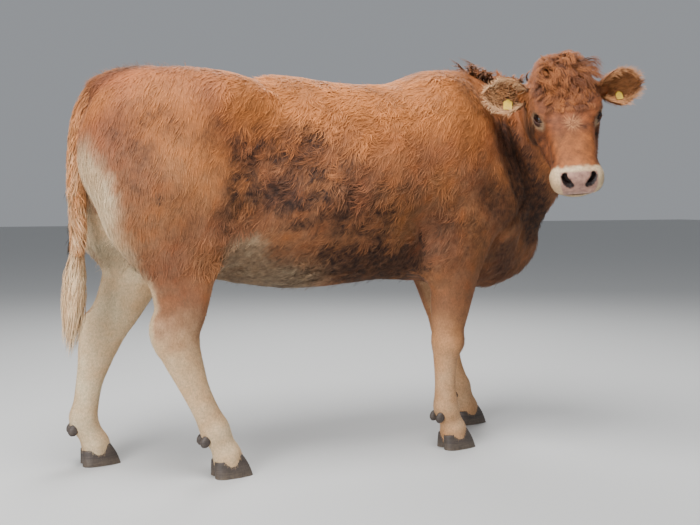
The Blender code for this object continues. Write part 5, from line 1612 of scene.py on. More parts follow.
def locks(spots, strands, rings, spread, wide, seed, curl=0.16, gather=0.55, swerve=0.35):
    """Strands for locks. A spot gives root, normal, way, length and lift of one lock."""
    dice = np.random.default_rng(seed)
    t = np.linspace(0, 1, rings)
    all_paths, all_normals = [], []
    for root, normal, way, long, lift in spots:
        side = np.cross(normal, way)
        bend = dice.normal(0, swerve)
        wave, phase = dice.uniform(4.5, 7.5), dice.uniform(0, 6.28)
        rise = lift * np.sin(np.minimum(1, t * 1.15) * 2.1)
        swing = bend * t**2 + curl * (np.sin(wave * t + phase) - math.sin(phase))
        core = root + np.outer(t * long, way) + np.outer(rise * long, normal)
        core = core + np.outer(swing * long, side)
        off = dice.normal(0, 1, (strands, 2)) * spread
        pull = 1 - gather * np.minimum(1, t * 1.4)
        own = dice.normal(0, 0.10, (strands, 1))
        length = dice.uniform(0.78, 1.08, (strands, 1, 1))
        path = root + (core - root)[None] * length
        path = path + (off[:, 0:1] * pull)[:, :, None] * side
        path = path + (np.abs(off[:, 1:2]) * 0.6 * pull)[:, :, None] * normal
        path = path + (own * (t**2)[None] * long)[:, :, None] * side
        path[:, 0] -= normal * 0.004
        all_paths.append(path)
        all_normals.append(np.repeat(normal[None], strands, axis=0))
    paths = np.concatenate(all_paths)
    normals = np.concatenate(all_normals)
    shape = np.minimum(1, 0.75 + t) * (1 - t**2.4)
    widths = wide * shape[None] * dice.uniform(0.7, 1.3, (len(paths), 1))
    return paths, widths, np.repeat(normals[:, None], rings, axis=1), normals


def lock_spots(starts, ways, longs, lifts, fine):
    """Roots of locks moved onto the skin, with its normals there and the ways laid along it."""
    starts = settle(lambda p: skin_field(p, fine), np.asarray(starts, float), 0.03, rounds=4)
    base = skin_field(starts, fine)
    ahead = [skin_field(starts + 0.002 * e, fine) for e in np.eye(3)]
    normals = unit(np.stack([f - base for f in ahead], 1))
    ways = unit(along_skin(np.array(ways), normals))
    return list(zip(starts, normals, ways, longs, lifts))


def forelock(material):
    """The mop on the poll that falls over the brow and out to both sides."""
    dice = np.random.default_rng(300)
    turn = np.array(head_matrix())
    starts, ways, longs, lifts = [], [], [], []
    for x, z, width, count, long, lift in MOP_ROWS:
        for i in range(count):
            y = (i / (count - 1) - 0.5) * width
            starts.append(np.array(head_point((x + 0.02 * dice.random(), y + 0.008 * dice.normal(), z))))
            sweep = 0.35 * max(0.0, 1 - max(x, 0.0) / 0.12)
            way = (0.85 + 0.18 * dice.normal(), 5 * y + sweep + 0.26 * dice.normal(), 0.3)
            ways.append(turn @ np.array(way))
            longs.append(long * dice.uniform(0.8, 1.2))
            lifts.append(lift * dice.uniform(0.6, 1.5))
    spots = lock_spots(starts, ways, longs, lifts, fine=True)
    paths, widths, ups, out = locks(spots, 18, 8, 0.0085, 0.0019, 301, curl=0.06, gather=0.30, swerve=0.25)
    tone = np.repeat(dice.random(len(spots)), 18)
    colours = columns(len(tone), 0.0, 0.30 + 0.45 * (1 - tone), 0.15 + 0.35 * tone)
    hair_object("forelock", paths, widths, ups, out, colours, material, soft=0.35)


def crest(material):
    """Mussed dark hair on the crest and withers."""
    dice = np.random.default_rng(320)
    starts, ways, longs, lifts = [], [], [], []
    for i in range(70):
        share = i / 69
        for side in (-1, 1):
            y = -0.060 * share**2 + side * abs(dice.normal(0, 0.020))
            starts.append((0.47 + 0.165 * share, y, WITHERS + 0.02))
            ways.append((0.6 * dice.normal(), side * dice.uniform(0.1, 1.0), 0.2))
            longs.append(dice.uniform(0.030, 0.062))
            lifts.append(dice.uniform(0.15, 0.75))
    spots = lock_spots(starts, ways, longs, lifts, fine=False)
    paths, widths, ups, out = locks(spots, 12, 5, 0.0050, 0.0020, 321, curl=0.12)
    tone = np.repeat(dice.random(len(spots)), 12)
    colours = columns(len(tone), 0.0, 0.20 + 0.35 * (1 - tone), 0.25 + 0.3 * tone)
    hair_object("crest", paths, widths, ups, out, colours, material, soft=0.35)


def tail_coat(material):
    """Hair of the dock, short on top and longer and paler towards the switch."""
    dice = np.random.default_rng(340)
    run = catmull(TAIL, 40)
    n = TAIL_HAIRS
    at = dice.uniform(0.02, 0.985, n)
    index = np.minimum((at * (len(run) - 1)).astype(int), len(run) - 2)
    centre, radii = run[index, :3], np.maximum(run[index, 3:5] - TAIL_DEPTH, TAIL_LEAST)
    along = unit(run[index + 1, :3] - run[index, :3])
    across = unit(np.array((0.0, 1.0, 0.0)) - along[:, 1:2] * along)
    deep = np.cross(across, along)
    a = dice.uniform(0, 2 * math.pi, n)
    normal = unit(across * np.cos(a)[:, None] + deep * np.sin(a)[:, None])
    place = centre + across * (radii[:, 0] * np.cos(a))[:, None] + deep * (radii[:, 1] * np.sin(a))[:, None]
    low = ease(-centre[:, 2], -1.20, -0.86)
    parting = np.sign(normal[:, 1])[:, None] * np.array((0.0, 1.0, 0.0)) * (0.18 * low)[:, None]
    way = along + parting + 0.14 * dice.normal(size=(n, 3))
    way = unit(along_skin(way, normal))
    long = (0.026 + 0.034 * low) * dice.uniform(0.7, 1.2, n)
    long = np.minimum(long, np.maximum(centre[:, 2] - TAIL[-1][2] + 0.03, 0.02))
    lift = 0.0035 + 0.0035 * dice.random(n)
    wide = 0.0026 * dice.uniform(0.7, 1.3, n)
    paths, widths, ups = lay_tufts(place, normal, way, long, wide, lift, 0.10 + 0.06 * low, 4, 341)
    tone = drift(place, 0.03, 342) * 0.5 + 0.5
    top = ease(centre[:, 2], 1.12, 1.24)
    colours = np.stack([0.08 + 0.55 * low * tone, 0.45 * top + 0.12 * (1 - tone), 0.55 + 0.2 * low], 1)
    hair_object("tail_hair", paths, widths, ups, normal, np.clip(colours, 0, 1), material)


def switch(material):
    """The wavy switch at the end of the tail."""
    dice = np.random.default_rng(360)
    top = np.array(TAIL[-1][:3])
    n, rings = SWITCH_HAIRS, 10
    t = np.linspace(0, 1, rings)
    a = dice.uniform(0, 2 * math.pi, n)
    depth = np.sqrt(dice.random(n))
    out = np.stack([np.cos(a), 0.8 * np.sin(a), 0 * a], 1)
    start = top + np.array((0, 0, 0.030)) - np.array((0, 0, 0.095)) * dice.random(n)[:, None]
    start = start + out * 0.010 * depth[:, None]
    long = dice.uniform(0.19, 0.31, n) * (1 - 0.12 * depth)
    swell = np.sin(np.minimum(t * 1.30, 1.0) * math.pi * 0.55)[None] * (1 - 0.55 * t**2)[None]
    bundle = np.floor(dice.random(n) * 26)
    wave = np.sin(9.5 * t[None] + bundle[:, None] * 2.4) * 0.0060 * np.minimum(1, t * 3)[None]
    fall = start[:, None] - np.array((0, 0, 1.0)) * (long[:, None] * t)[:, :, None]
    fall[:, :, 0] -= (0.030 * t**1.6)[None]
    paths = fall + out[:, None] * (0.028 * depth[:, None] * swell)[:, :, None]
    paths[:, :, 0] += wave * np.cos(bundle)[:, None]
    paths[:, :, 1] += wave * np.sin(bundle)[:, None]
    shape = np.minimum(1, 0.7 + t) * (1 - t**3)
    widths = 0.0027 * shape[None] * dice.uniform(0.7, 1.3, (n, 1))
    ups = np.repeat(out[:, None], rings, axis=1)
    tone = (bundle * 0.37) % 1
    colours = np.stack([0.62 + 0.30 * tone, 0.12 * (1 - tone), 0.6 + 0 * tone], 1)
    out = unit(out + 1e-6)
    obj = hair_object("switch", paths, widths, ups, out, colours, material, 0.45)
    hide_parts("tail_switch")


def wisps(mesh_data, material):
    """Sparse long hairs along the belly's edge, the brisket, the loin and the tail head."""

    def keep(p, n):
        edge = (p[:, 2] < 0.72) & (p[:, 2] > 0.54) & (np.abs(p[:, 1]) > 0.04)
        belly = ease(-n[:, 2], 0.35, 0.75) * edge * 0.5
        top = ease(n[:, 2], 0.80, 0.95) * (p[:, 0] < -0.60) * 0.22 + ease(n[:, 2], 0.85, 0.97) * 0.018
        croup = spot(p, (-0.80, 0, 1.27), (0.12, 0.07, 0.07), 0.5) * 0.8
        return np.maximum.reduce([belly, top * (p[:, 2] > 1.15), croup]) * (past_head(p) > 0.05)

    place, normal = scatter(mesh_data, WISP_SPACING, keep, 400)
    n = len(place)
    dice = np.random.default_rng(401)
    label = np.full(n, TRUNK_LABEL)
    way = lie(place, normal, label)
    stand = np.where(normal[:, 2] > 0, dice.uniform(0.3, 0.9, n), dice.uniform(0.05, 0.35, n))
    way = unit(way + 0.25 * dice.normal(size=(n, 3)) + normal * stand[:, None])
    long = np.where(normal[:, 2] > 0, dice.uniform(0.016, 0.028, n), dice.uniform(0.022, 0.042, n))
    shape = (long, np.full(n, 0.0014), np.full(n, 0.002), np.full(n, 0.12))
    paths, widths, ups = lay_tufts(place, normal, way, *shape, 4, 402)
    colours = markings(place, normal, label)
    hair_object("wisps", paths, widths, ups, normal, colours, material, soft=0.4)


def eye_axes(side):
    """The gaze of one eye, the line of its slit and the way across both."""
    gaze = unit(np.array(mirrored(EYE_GAZE, side)))
    along = np.array(mirrored(EYE_SLIT, side))
    along = unit(along - along @ gaze * gaze)
    return gaze, along, np.cross(gaze, along)


def lashes(material):
    """Lashes on both lids' rims."""
    rows, ups_rows = [], []
    turn = np.array(head_matrix())
    dice = np.random.default_rng(380)
    t = np.linspace(0, 1, 5)
    for side in (-1, 1):
        gaze, along, over = eye_axes(side)
        over = over * (1 if side < 0 else -1)
        for i in range(46):
            u = dice.uniform(-0.95, 0.95)
            upper = i < 34
            rim = (0.0115 if upper else -0.0085) * (1 - 0.75 * u * u)
            root = np.array(mirrored(EYE, side)) + gaze * 0.0235 + along * u * 0.020 + over * rim
            long = dice.uniform(0.010, 0.017) if upper else dice.uniform(0.005, 0.009)
            way = gaze * 0.8 + over * (0.45 if upper else -0.5)
            way = unit(way + along * (0.5 * u + 0.15 * dice.normal()))
            bend = over * (0.28 if upper else -0.1) - gaze * 0.1
            path = root + np.outer(t * long, way) + np.outer(t**2 * long, bend)
            rows.append(np.array([head_point(p) for p in path]))
            ups_rows.append(turn @ gaze)
    paths, normals = np.array(rows), np.array(ups_rows)
    widths = 0.0009 * (1 - t**2)[None] * np.ones((len(paths), 1))
    ups = np.repeat(normals[:, None], 5, axis=1)
    colours = np.tile((0.25, 0.7, 0.2), (len(paths), 1))
    hair_object("lashes", paths, widths, ups, normals, colours, material, soft=0.4)


# Eyes, hooves and tags


def eyeball(side, material):
    """A wet dark eye with its cornea, looking out to its own side."""
    around, rings = 56, 40
    gaze, along, over = eye_axes(side)
    rows, colours = [], []
    for i in range(rings + 1):
        polar = math.pi * i / rings
        bulge = 1 + 0.050 * max(0.0, 1 - (polar / 0.62) ** 2)
        for j in range(around):
            b = 2 * math.pi * j / around
            u, v, w = math.sin(polar) * math.cos(b), math.sin(polar) * math.sin(b), math.cos(polar)
            local = (along * u + over * v + gaze * w) * EYE_RADIUS * 0.992 * bulge
            rows.append(head_point(np.array(mirrored(EYE, side)) + local))
            pupil = 1 - ease(math.hypot(u / 0.42, v / 0.20), 0.9, 1.08)
            iris = 1 - ease(math.hypot(u / 0.80, v / 0.74), 0.92, 1.05)
            rays = 0.5 + 0.5 * math.sin(b * 23 + 3 * math.sin(b * 7))
            colours.append((float(pupil), float(iris), rays, 1))
    name = "left" if side > 0 else "right"
    obj = fast_mesh("eyeball_" + name, rows, hoops(rings, around, True), material)
    weld(obj)
    add_colours(obj, "iris", colours_after_weld(colours, around, rings))
    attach(obj, "root")
    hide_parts("eye_" + name)


def weld(obj):
    work = bmesh.new()
    work.from_mesh(obj.data)
    bmesh.ops.remove_doubles(work, verts=work.verts, dist=1e-6)
    bmesh.ops.recalc_face_normals(work, faces=work.faces)
    for face in work.faces:
        face.smooth = True
    work.to_mesh(obj.data)
    work.free()
    obj.data.update()


def colours_after_weld(colours, around, rings):
    """The colours of a sphere whose two poles have become one point each."""
    rows = [colours[0]]
    rows += colours[around : rings * around]
    rows.append(colours[rings * around])
    return rows


def claw(name, leg, which, material):
    """One claw with growth rings, a bulb at the heel and a flat sole."""
    x0, y0 = hoof_frame(leg)
    around, levels = 40, 26
    rows = []
    for i in range(levels + 1):
        level = i / levels
        toe = 0.080 - 0.034 * level + 0.003 * math.sin(math.pi * level)
        half = 0.0248 - 0.0045 * level**1.3
        ring = 0.0005 * math.sin(level * 46 + 0.8 * math.sin(level * 9)) * (1 - level) ** 0.3
        for j in range(around):
            a = 2 * math.pi * j / around
            c, s = math.cos(a), math.sin(a)
            reach = toe if c > 0 else 0.0455
            x = x0 + (abs(c) ** 0.92) * math.copysign(1, c) * (reach + ring)
            out = half + half * s * (1 - 0.22 * c)
            y = y0 + which * max(0.0024, out + ring * s)
            z = level * (coronet_height(x, x0) - GAP)
            if i == 0:
                z = 0.0
            rows.append((x, y, z))
    faces = hoops(levels, around)
    for base in (0, levels * around):
        rows.append(tuple(np.mean(rows[base : base + around], axis=0)))
        tip = len(rows) - 1
        for j in range(around):
            k = (j + 1) % around
            faces.append((base + k, base + j, tip, tip) if base == 0 else (base + j, base + k, tip, tip))
    obj = fast_mesh("hoof_" + name[5:], rows, faces, material)
    weld(obj)
    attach(obj, "root")
    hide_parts(name)


def dewclaw(name, leg, which, material):
    """A small tilted horn behind the fetlock."""
    stations = leg_stations(leg)
    x, y, z, _, d = next(s for s in stations if s[2] < 0.16)
    centre = np.array((x - d * 0.80 + 0.004, y + which * 0.022, z - 0.032))
    turn = np.array(Matrix.Rotation(math.radians(28), 3, "Y"))
    rows = []
    around, rings = 24, 16
    for i in range(rings + 1):
        polar = math.pi * i / rings
        for j in range(around):
            a = 2 * math.pi * j / around
            p = np.array((math.sin(polar) * math.cos(a), math.sin(polar) * math.sin(a), math.cos(polar)))
            grow = 1 + 0.02 * math.sin(p[2] * 16)
            rows.append(centre + turn @ (p * np.array((0.0166, 0.0116, 0.0205)) * grow))
    obj = fast_mesh("spur_" + name[8:], rows, hoops(rings, around, True), material)
    weld(obj)
    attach(obj, "root")
    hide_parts(name)


def ear_tag(side, material):
    """A plain plastic tag: a plate with a neck in the cup, and a button behind the ear."""
    name = "left" if side > 0 else "right"
    axis, broad, _ = ear_frame(side)
    low = 1 if broad[2] < 0 else -1
    turn = low * TAG_TURN / math.degrees(ear_section(TAG_SHARE)[1])
    back = ear_place(side, TAG_SHARE, turn, 0.0)
    inward = unit(ear_place(side, TAG_SHARE, turn, 0.01) - back)
    down = unit(np.cross(axis, inward)) * -low
    down = down if down[2] < 0 else -down
    wide, tall = TAG_PLATES[name]
    half, corner = wide / 2, wide * 0.16
    outline = []
    for cx, cy, a0 in ((half, 0.5, 0), (-half, 0.5, 90), (-half, -0.30, 180), (half, -0.30, 270)):
        for k in range(6):
            a = math.radians(a0 + 18 * k)
            x = cx - math.copysign(corner, cx) + corner * math.cos(a)
            y = cy * tall - math.copysign(corner, cy) + corner * math.sin(a)
            outline.append((x, y))
        if a0 == 180:
            for k in range(9):
                a = math.radians(180 + 22.5 * k)
                outline.append((0.26 * wide * math.cos(a), -0.30 * tall + 0.24 * wide * math.sin(a)))
    origin = np.array((0, tall * 0.24, 0.0200))
    work = bmesh.new()

    def prism_of(ring, low_end, high_end, at):
        lower = [work.verts.new((x + at[0], y + at[1], low_end + at[2])) for x, y in ring]
        upper = [work.verts.new((x + at[0], y + at[1], high_end + at[2])) for x, y in ring]
        work.faces.new(lower[::-1])
        work.faces.new(upper)
        for i in range(len(ring)):
            j = (i + 1) % len(ring)
            work.faces.new((lower[i], lower[j], upper[j], upper[i]))

    def circle(radius, count=28):
        turns = [2 * math.pi * i / count for i in range(count)]
        return [(radius * math.cos(a), radius * math.sin(a)) for a in turns]

    prism_of(outline, -0.0010, 0.0010, origin)
    prism_of(circle(0.0032), -0.0042, 0.0205, (0, 0, 0))
    prism_of(circle(0.0070), 0.0195, 0.0222, (0, 0, 0))
    prism_of(circle(0.0108), -0.0064, -0.0038, (0, 0, 0))
    prism_of(circle(0.0045), -0.0080, -0.0062, (0, 0, 0))
    bmesh.ops.recalc_face_normals(work, faces=work.faces)
    frame_rows = np.stack([axis, down, inward], 1)
    for vert in work.verts:
        vert.co = Vector(frame_rows @ np.array(vert.co) + back + SHIFT)
    mesh = bpy.data.meshes.new("tag_plate_" + name)
    work.to_mesh(mesh)
    work.free()
    mesh.materials.append(material)
    obj = bpy.data.objects.new("tag_plate_" + name, mesh)
    bpy.context.scene.collection.objects.link(obj)
    bevel = obj.modifiers.new("rounded", "BEVEL")
    bevel.width = 0.0005
    bevel.segments = 2
    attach(obj, "root")
    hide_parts("tag_" + name)


# Materials


def linear(red, green, blue):
    """Display colour from 0 to 255, as the linear colour that shaders take."""
    out = []
    for v in (red, green, blue):
        v /= 255
        out.append(v / 12.92 if v <= 0.04045 else ((v + 0.055) / 1.055) ** 2.4)
    return (*out, 1.0)


class Nodes:
    """A short way to write node trees."""

    def __init__(self, name, roughness=0.7):
        self.material = bpy.data.materials.new(name)
        self.material.use_nodes = True
        self.tree = self.material.node_tree
        self.shader = self.tree.nodes["Principled BSDF"]
        self.shader.inputs["Roughness"].default_value = roughness

    def new(self, kind, **values):
        node = self.tree.nodes.new(kind)
        for key, value in values.items():
            setattr(node, key, value)
        return node

    def link(self, a, b):
        self.tree.links.new(a, b)

    def put(self, socket, value):
        if hasattr(value, "links"):
            self.link(value, socket)
        else:
            socket.default_value = value

    def attribute(self, name):
        node = self.new("ShaderNodeAttribute", attribute_name=name)
        split = self.new("ShaderNodeSeparateColor")
        self.link(node.outputs["Color"], split.inputs[0])
        return split.outputs

    def noise(self, scale, detail=3.0, rough=0.55, vector=None, distortion=0.0):
        node = self.new("ShaderNodeTexNoise")
        node.inputs["Scale"].default_value = scale
        node.inputs["Detail"].default_value = detail
        node.inputs["Roughness"].default_value = rough
        node.inputs["Distortion"].default_value = distortion
        if vector is None:
            vector = self.new("ShaderNodeTexCoord").outputs["Object"]
        self.link(vector, node.inputs["Vector"])
        return node.outputs["Fac"]

    def stretched(self, scale):
        coords = self.new("ShaderNodeTexCoord").outputs["Object"]
        mapping = self.new("ShaderNodeMapping")
        mapping.inputs["Scale"].default_value = scale
        self.link(coords, mapping.inputs["Vector"])
        return mapping.outputs["Vector"]

    def mix(self, share, a, b, kind="MIX"):
        node = self.new("ShaderNodeMix", data_type="RGBA", blend_type=kind)
        self.put(node.inputs["Factor"], share)
        self.put(node.inputs[6], a)
        self.put(node.inputs[7], b)
        return node.outputs[2]

    def reach(self, value, a, b, low, high):
        node = self.new("ShaderNodeMapRange")
        self.put(node.inputs["Value"], value)
        for key, number in (("From Min", a), ("From Max", b), ("To Min", low), ("To Max", high)):
            node.inputs[key].default_value = number
        return node.outputs["Result"]

    def maths(self, kind, a, b=0.5):
        node = self.new("ShaderNodeMath", operation=kind)
        self.put(node.inputs[0], a)
        self.put(node.inputs[1], b)
        return node.outputs[0]

    def shade(self, colour, share):
        """A colour made darker or lighter by a factor."""
        node = self.new("ShaderNodeVectorMath", operation="SCALE")
        self.link(colour, node.inputs[0])
        self.put(node.inputs["Scale"], share)
        return node.outputs[0]

    def bump(self, height, strength, distance):
        node = self.new("ShaderNodeBump")
        node.inputs["Strength"].default_value = strength
        node.inputs["Distance"].default_value = distance
        self.link(height, node.inputs["Height"])
        self.link(node.outputs["Normal"], self.shader.inputs["Normal"])


def fur_colour(m):
    """The coat's colour from its markings, with their painted shade and highlights, the same in skin and
    hair.
    """
    pale, dark, gold = m.attribute("marks")[:3]
    patches = m.noise(9.0, 3.0, 0.6)
    streaks = m.noise(60.0, 2.0, 0.6)
    base = m.mix(m.reach(patches, 0.3, 0.7, 0.0, 1.0), linear(*COAT_RED), linear(*COAT_BROWN))
    base = m.mix(gold, base, linear(*COAT_GOLD))
    cream = m.mix(m.reach(patches, 0.3, 0.7, 0.0, 1.0), linear(*PALE_CREAM), linear(*PALE_PINK))
    base = m.mix(pale, base, cream)
    dark = m.maths("MULTIPLY", dark, m.reach(streaks, 0.25, 0.75, 0.75, 1.1))
    return m.mix(dark, base, linear(*COAT_DARK_AND_SHADE))


def coat_material():
    m = Nodes("coat_hair", 0.62)
    colour = fur_colour(m)
    chance, tip, across = m.attribute("strand")[:3]
    own = m.reach(chance, 0.0, 1.0, 0.78, 1.20)
    down = m.reach(tip, 0.0, 1.0, 0.68, 1.16)
    hairs = m.new("ShaderNodeTexNoise", noise_dimensions="1D")
    hairs.inputs["Scale"].default_value = 1.0
    hairs.inputs["Detail"].default_value = 2.0
    place = m.maths("ADD", m.maths("MULTIPLY", across, 7.0), m.maths("MULTIPLY", chance, 900.0))
    m.link(place, hairs.inputs["W"])
    fine = m.reach(hairs.outputs["Fac"], 0.30, 0.70, 0.76, 1.20)
    share = m.maths("MULTIPLY", fine, m.maths("MULTIPLY", own, down))
    m.link(m.shade(colour, share), m.shader.inputs["Base Color"])
    m.shader.inputs["Specular IOR Level"].default_value = 0.30
    m.shader.inputs["Sheen Weight"].default_value = 0.12
    m.shader.inputs["Sheen Roughness"].default_value = 0.45
    m.shader.inputs["Sheen Tint"].default_value = (1.0, 0.82, 0.62, 1.0)
    m.bump(hairs.outputs["Fac"], 0.5, 0.0005)
    return m.material


def skin_material():
    m = Nodes("hide", 0.72)
    fur = m.shade(fur_colour(m), m.reach(m.noise(140.0, 3.0, 0.6), 0.3, 0.7, 0.58, 0.88))
    pad, rim, deep = m.attribute("bare")[:3]
    mottled = m.noise(70.0, 4.0, 0.65)
    nose = m.mix(m.reach(mottled, 0.35, 0.7, 0.0, 1.0), linear(*NOSE_PINK), linear(*NOSE_MAUVE))
    colour = m.mix(pad, fur, nose)
    colour = m.mix(rim, colour, linear(*RIM_BROWN))
    # Painted shade inside the nostrils.
    colour = m.mix(deep, colour, linear(*NOSTRIL_SHADE))
    m.link(colour, m.shader.inputs["Base Color"])
    m.link(m.reach(pad, 0.0, 1.0, 0.74, 0.34), m.shader.inputs["Roughness"])
    m.shader.inputs["Specular IOR Level"].default_value = 0.35
    cells = m.new("ShaderNodeTexVoronoi", feature="DISTANCE_TO_EDGE")
    cells.inputs["Scale"].default_value = 330.0
    m.link(m.new("ShaderNodeTexCoord").outputs["Object"], cells.inputs["Vector"])
    pebbles = m.maths("MULTIPLY", m.reach(cells.outputs["Distance"], 0.0, 0.25, 0.0, 1.0), pad)
    hairs = m.maths("MULTIPLY", m.noise(420.0, 2.0, 0.7), m.maths("SUBTRACT", 1.0, pad))
    m.bump(m.maths("ADD", pebbles, hairs), 0.7, 0.0009)
    return m.material


def eye_material():
    m = Nodes("wet_eye", 0.09)
    pupil, iris, rays = m.attribute("iris")[:3]
    brown = m.mix(m.maths("MULTIPLY", rays, 0.6), linear(*IRIS_DARK), linear(*IRIS_BROWN))
    white = m.mix(m.noise(160.0, 3.0), linear(*WHITE_DARK), linear(*WHITE_BROWN))
    colour = m.mix(iris, white, brown)
    colour = m.mix(pupil, colour, linear(*PUPIL_BLACK))
    m.link(colour, m.shader.inputs["Base Color"])
    m.shader.inputs["IOR"].default_value = 1.38
    return m.material


def horn_material():
    m = Nodes("hoof_horn", 0.5)
    rings = m.noise(1.0, 4.0, 0.6, m.stretched((14.0, 14.0, 260.0)))
    grain = m.noise(1.0, 3.0, 0.6, m.stretched((420.0, 420.0, 30.0)))
    colour = m.mix(m.reach(rings, 0.3, 0.7, 0.0, 1.0), linear(*HORN_DARK), linear(*HORN_PALE))
    colour = m.mix(m.reach(grain, 0.45, 0.75, 0.0, 0.6), colour, linear(*HORN_GRAIN))
    place = m.new("ShaderNodeSeparateXYZ")
    m.link(m.new("ShaderNodeTexCoord").outputs["Object"], place.inputs[0])
    low = m.reach(place.outputs[2], 0.0, 0.030, 0.75, 0.0)
    dust = m.maths("MULTIPLY", low, m.reach(m.noise(90.0, 4.0), 0.35, 0.65, 0.3, 1.0))
    m.link(m.mix(dust, colour, linear(*HORN_DUST)), m.shader.inputs["Base Color"])
    m.link(m.reach(grain, 0.2, 0.8, 0.42, 0.66), m.shader.inputs["Roughness"])
    m.bump(m.maths("ADD", rings, m.maths("MULTIPLY", grain, 0.6)), 0.5, 0.0007)
    return m.material


def tag_material():
    m = Nodes("tag_plastic", 0.42)
    wear = m.noise(120.0, 4.0, 0.65)
    grime = m.reach(m.noise(40.0, 4.0, 0.6), 0.48, 0.72, 0.0, 0.35)
    colour = m.mix(m.reach(wear, 0.3, 0.7, 0.0, 0.5), linear(*TAG_YELLOW), linear(*TAG_WORN))
    m.link(m.mix(grime, colour, linear(*TAG_GRIME)), m.shader.inputs["Base Color"])
    m.link(m.reach(wear, 0.3, 0.7, 0.34, 0.55), m.shader.inputs["Roughness"])
    m.shader.inputs["Specular IOR Level"].default_value = 0.45
    m.bump(wear, 0.15, 0.0003)
    return m.material


def floor_material():
    m = Nodes("studio_floor", 0.9)
    m.shader.inputs["Base Color"].default_value = FLOOR_COLOUR
    return m.material


# Studio


def studio():
    material = floor_material()
    work = bmesh.new()
    bmesh.ops.create_grid(work, x_segments=1, y_segments=1, size=FLOOR_HALF)
    mesh = bpy.data.meshes.new("studio_floor")
    work.to_mesh(mesh)
    work.free()
    mesh.materials.append(material)
    ground = bpy.data.objects.new("studio_floor", mesh)
    bpy.context.scene.collection.objects.link(ground)
    world = bpy.data.worlds.new("studio_light")
    bpy.context.scene.world = world
    world.use_nodes = True
    world.node_tree.nodes["Background"].inputs[0].default_value = WORLD_COLOUR
    world.node_tree.nodes["Background"].inputs[1].default_value = WORLD_STRENGTH
    for name, place, aim, size, power in LIGHTS:
        lamp = bpy.data.lights.new(name, "AREA")
        lamp.shape = "DISK"
        lamp.size = size
        lamp.energy = power
        obj = bpy.data.objects.new(name, lamp)
        obj.location = Vector(place)
        obj.rotation_euler = (Vector(aim) - Vector(place)).to_track_quat("-Z", "Y").to_euler()
        bpy.context.scene.collection.objects.link(obj)


def camera():
    data = bpy.data.cameras.new("photo_view")
    data.sensor_width = 36.0
    data.lens = CAMERA_LENS
    data.clip_end = 100
    obj = bpy.data.objects.new("photo_view", data)
    obj.location = Vector(CAMERA_PLACE) + Vector(SHIFT)
    toward = Vector(CAMERA_AIM) - Vector(CAMERA_PLACE)
    obj.rotation_euler = toward.to_track_quat("-Z", "Y").to_euler()
    bpy.context.scene.collection.objects.link(obj)
    bpy.context.scene.camera = obj


# The skin piece and the whole model


def point_normals(points, faces):
    tri = np.concatenate([faces[:, [0, 1, 2]], faces[:, [0, 2, 3]]])
    a, b, c = points[tri[:, 0]], points[tri[:, 1]], points[tri[:, 2]]
    face = np.cross(b - a, c - a)
    out = np.zeros((len(points), 3))
    for i in range(3):
        for k in range(3):
            out[:, k] += np.bincount(tri[:, i], face[:, k], len(points))
    return unit(out)


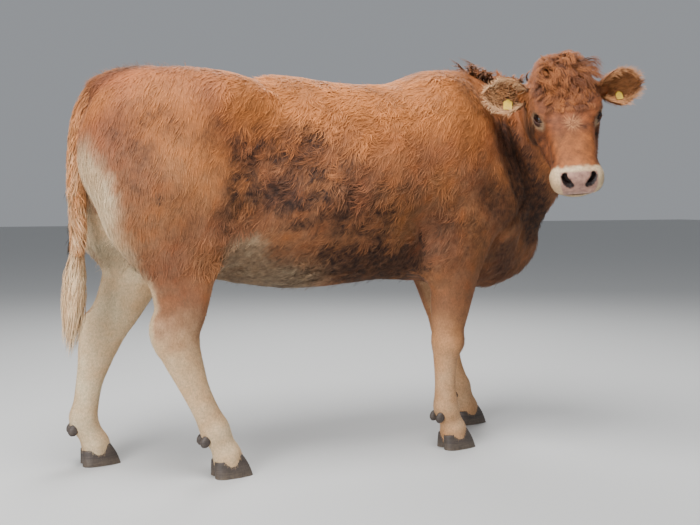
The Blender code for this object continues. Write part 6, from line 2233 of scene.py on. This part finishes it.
def make_skin(material):
    """One skin for all the nodes of flesh, from the field, the two ears and the dock."""
    pieces = [body_skin(), head_skin(), ear_shell(-1), ear_shell(1), tail_skin()]
    points, faces, kinds = [], [], []
    start = 0
    for kind, (p, f) in enumerate(pieces):
        points.append(p)
        faces.append(f + start)
        kinds.append(np.full(len(p), kind))
        start += len(p)
    points, faces, kinds = np.concatenate(points), np.concatenate(faces), np.concatenate(kinds)
    normals = point_normals(points, faces)
    label = part_of(points)
    label[kinds == DOCK] = TAIL_LABEL
    label[(kinds == RIGHT_EAR) | (kinds == LEFT_EAR)] = EAR_LABEL
    marks = markings(points, normals, np.where(label == EAR_LABEL, HEAD_LABEL, label))
    bare = bare_parts(points, label)
    for kind, side in ((RIGHT_EAR, -1), (LEFT_EAR, 1)):
        here = kinds == kind
        inside = ease(normals[here] @ ear_frame(side)[2], 0.0, 0.4)
        name = "left" if side > 0 else "right"
        # The left ear's darker inside is painted shade.
        dark = 0.25 + (EAR_DARK_AND_SHADE[name] - 0.20) * inside
        marks[here] = columns(len(inside), 0.8 * EAR_PALE[name] * inside, dark, 0.60)
    here = kinds == DOCK
    low = ease(-points[here][:, 2], -1.20, -0.86)
    marks[here] = columns(len(low), 0.45 * low, 0.3, 0.4)
    skin = fast_mesh("skin", points, faces, material)
    add_colours(skin, "marks", np.concatenate([marks, np.ones((len(marks), 1))], 1))
    add_colours(skin, "bare", np.concatenate([bare, np.ones((len(bare), 1))], 1))
    ab = points[faces[:, 1]] - points[faces[:, 0]]
    ac = points[faces[:, 2]] - points[faces[:, 0]]
    chart = label[faces[:, 0]] * 6 + facing(unit(np.cross(ab, ac)))
    chart = chart + (kinds[faces[:, 0]] == LEFT_EAR) * 6
    three = faces[:, 2] == faces[:, 3]
    sizes = np.where(three, 3, 4)
    hold = np.arange(4)[None] < sizes[:, None]
    corners = faces[hold]
    charts = np.repeat(chart, sizes)
    add_uv(skin, unwrap(points[corners], charts, lay_out(points[corners], charts)))
    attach(skin, "root")
    flesh_kinds = ("torso", "neck", "head", "leg", "shank", "ear")
    flesh_nodes = [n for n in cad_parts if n.split("_")[0] in flesh_kinds or n == "tail"]
    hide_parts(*flesh_nodes)
    body_faces = faces[kinds[faces[:, 0]] < RIGHT_EAR]
    return (points, body_faces, normals), pieces[RIGHT_EAR], pieces[LEFT_EAR]


def main():
    camera()
    studio()
    hide, hair = skin_material(), coat_material()
    skin, right_ear, left_ear = make_skin(hide)
    body_coat(skin, hair)
    leg_coat(skin, hair)
    face_coat(skin, hair)
    ear_coat(-1, right_ear, hair)
    ear_coat(1, left_ear, hair)
    forelock(hair)
    crest(hair)
    tail_coat(hair)
    switch(hair)
    wisps(skin, hair)
    lashes(hair)
    wet, horn, plastic = eye_material(), horn_material(), tag_material()
    for side in (-1, 1):
        eyeball(side, wet)
        ear_tag(side, plastic)
    for leg in STRIDES:
        side = -1 if leg.endswith("right") else 1
        for n, which in (("inner", -side), ("outer", side)):
            claw(f"claw_{leg}_{n}", leg, which, horn)
            dewclaw(f"dewclaw_{leg}_{n}", leg, which, horn)


main()
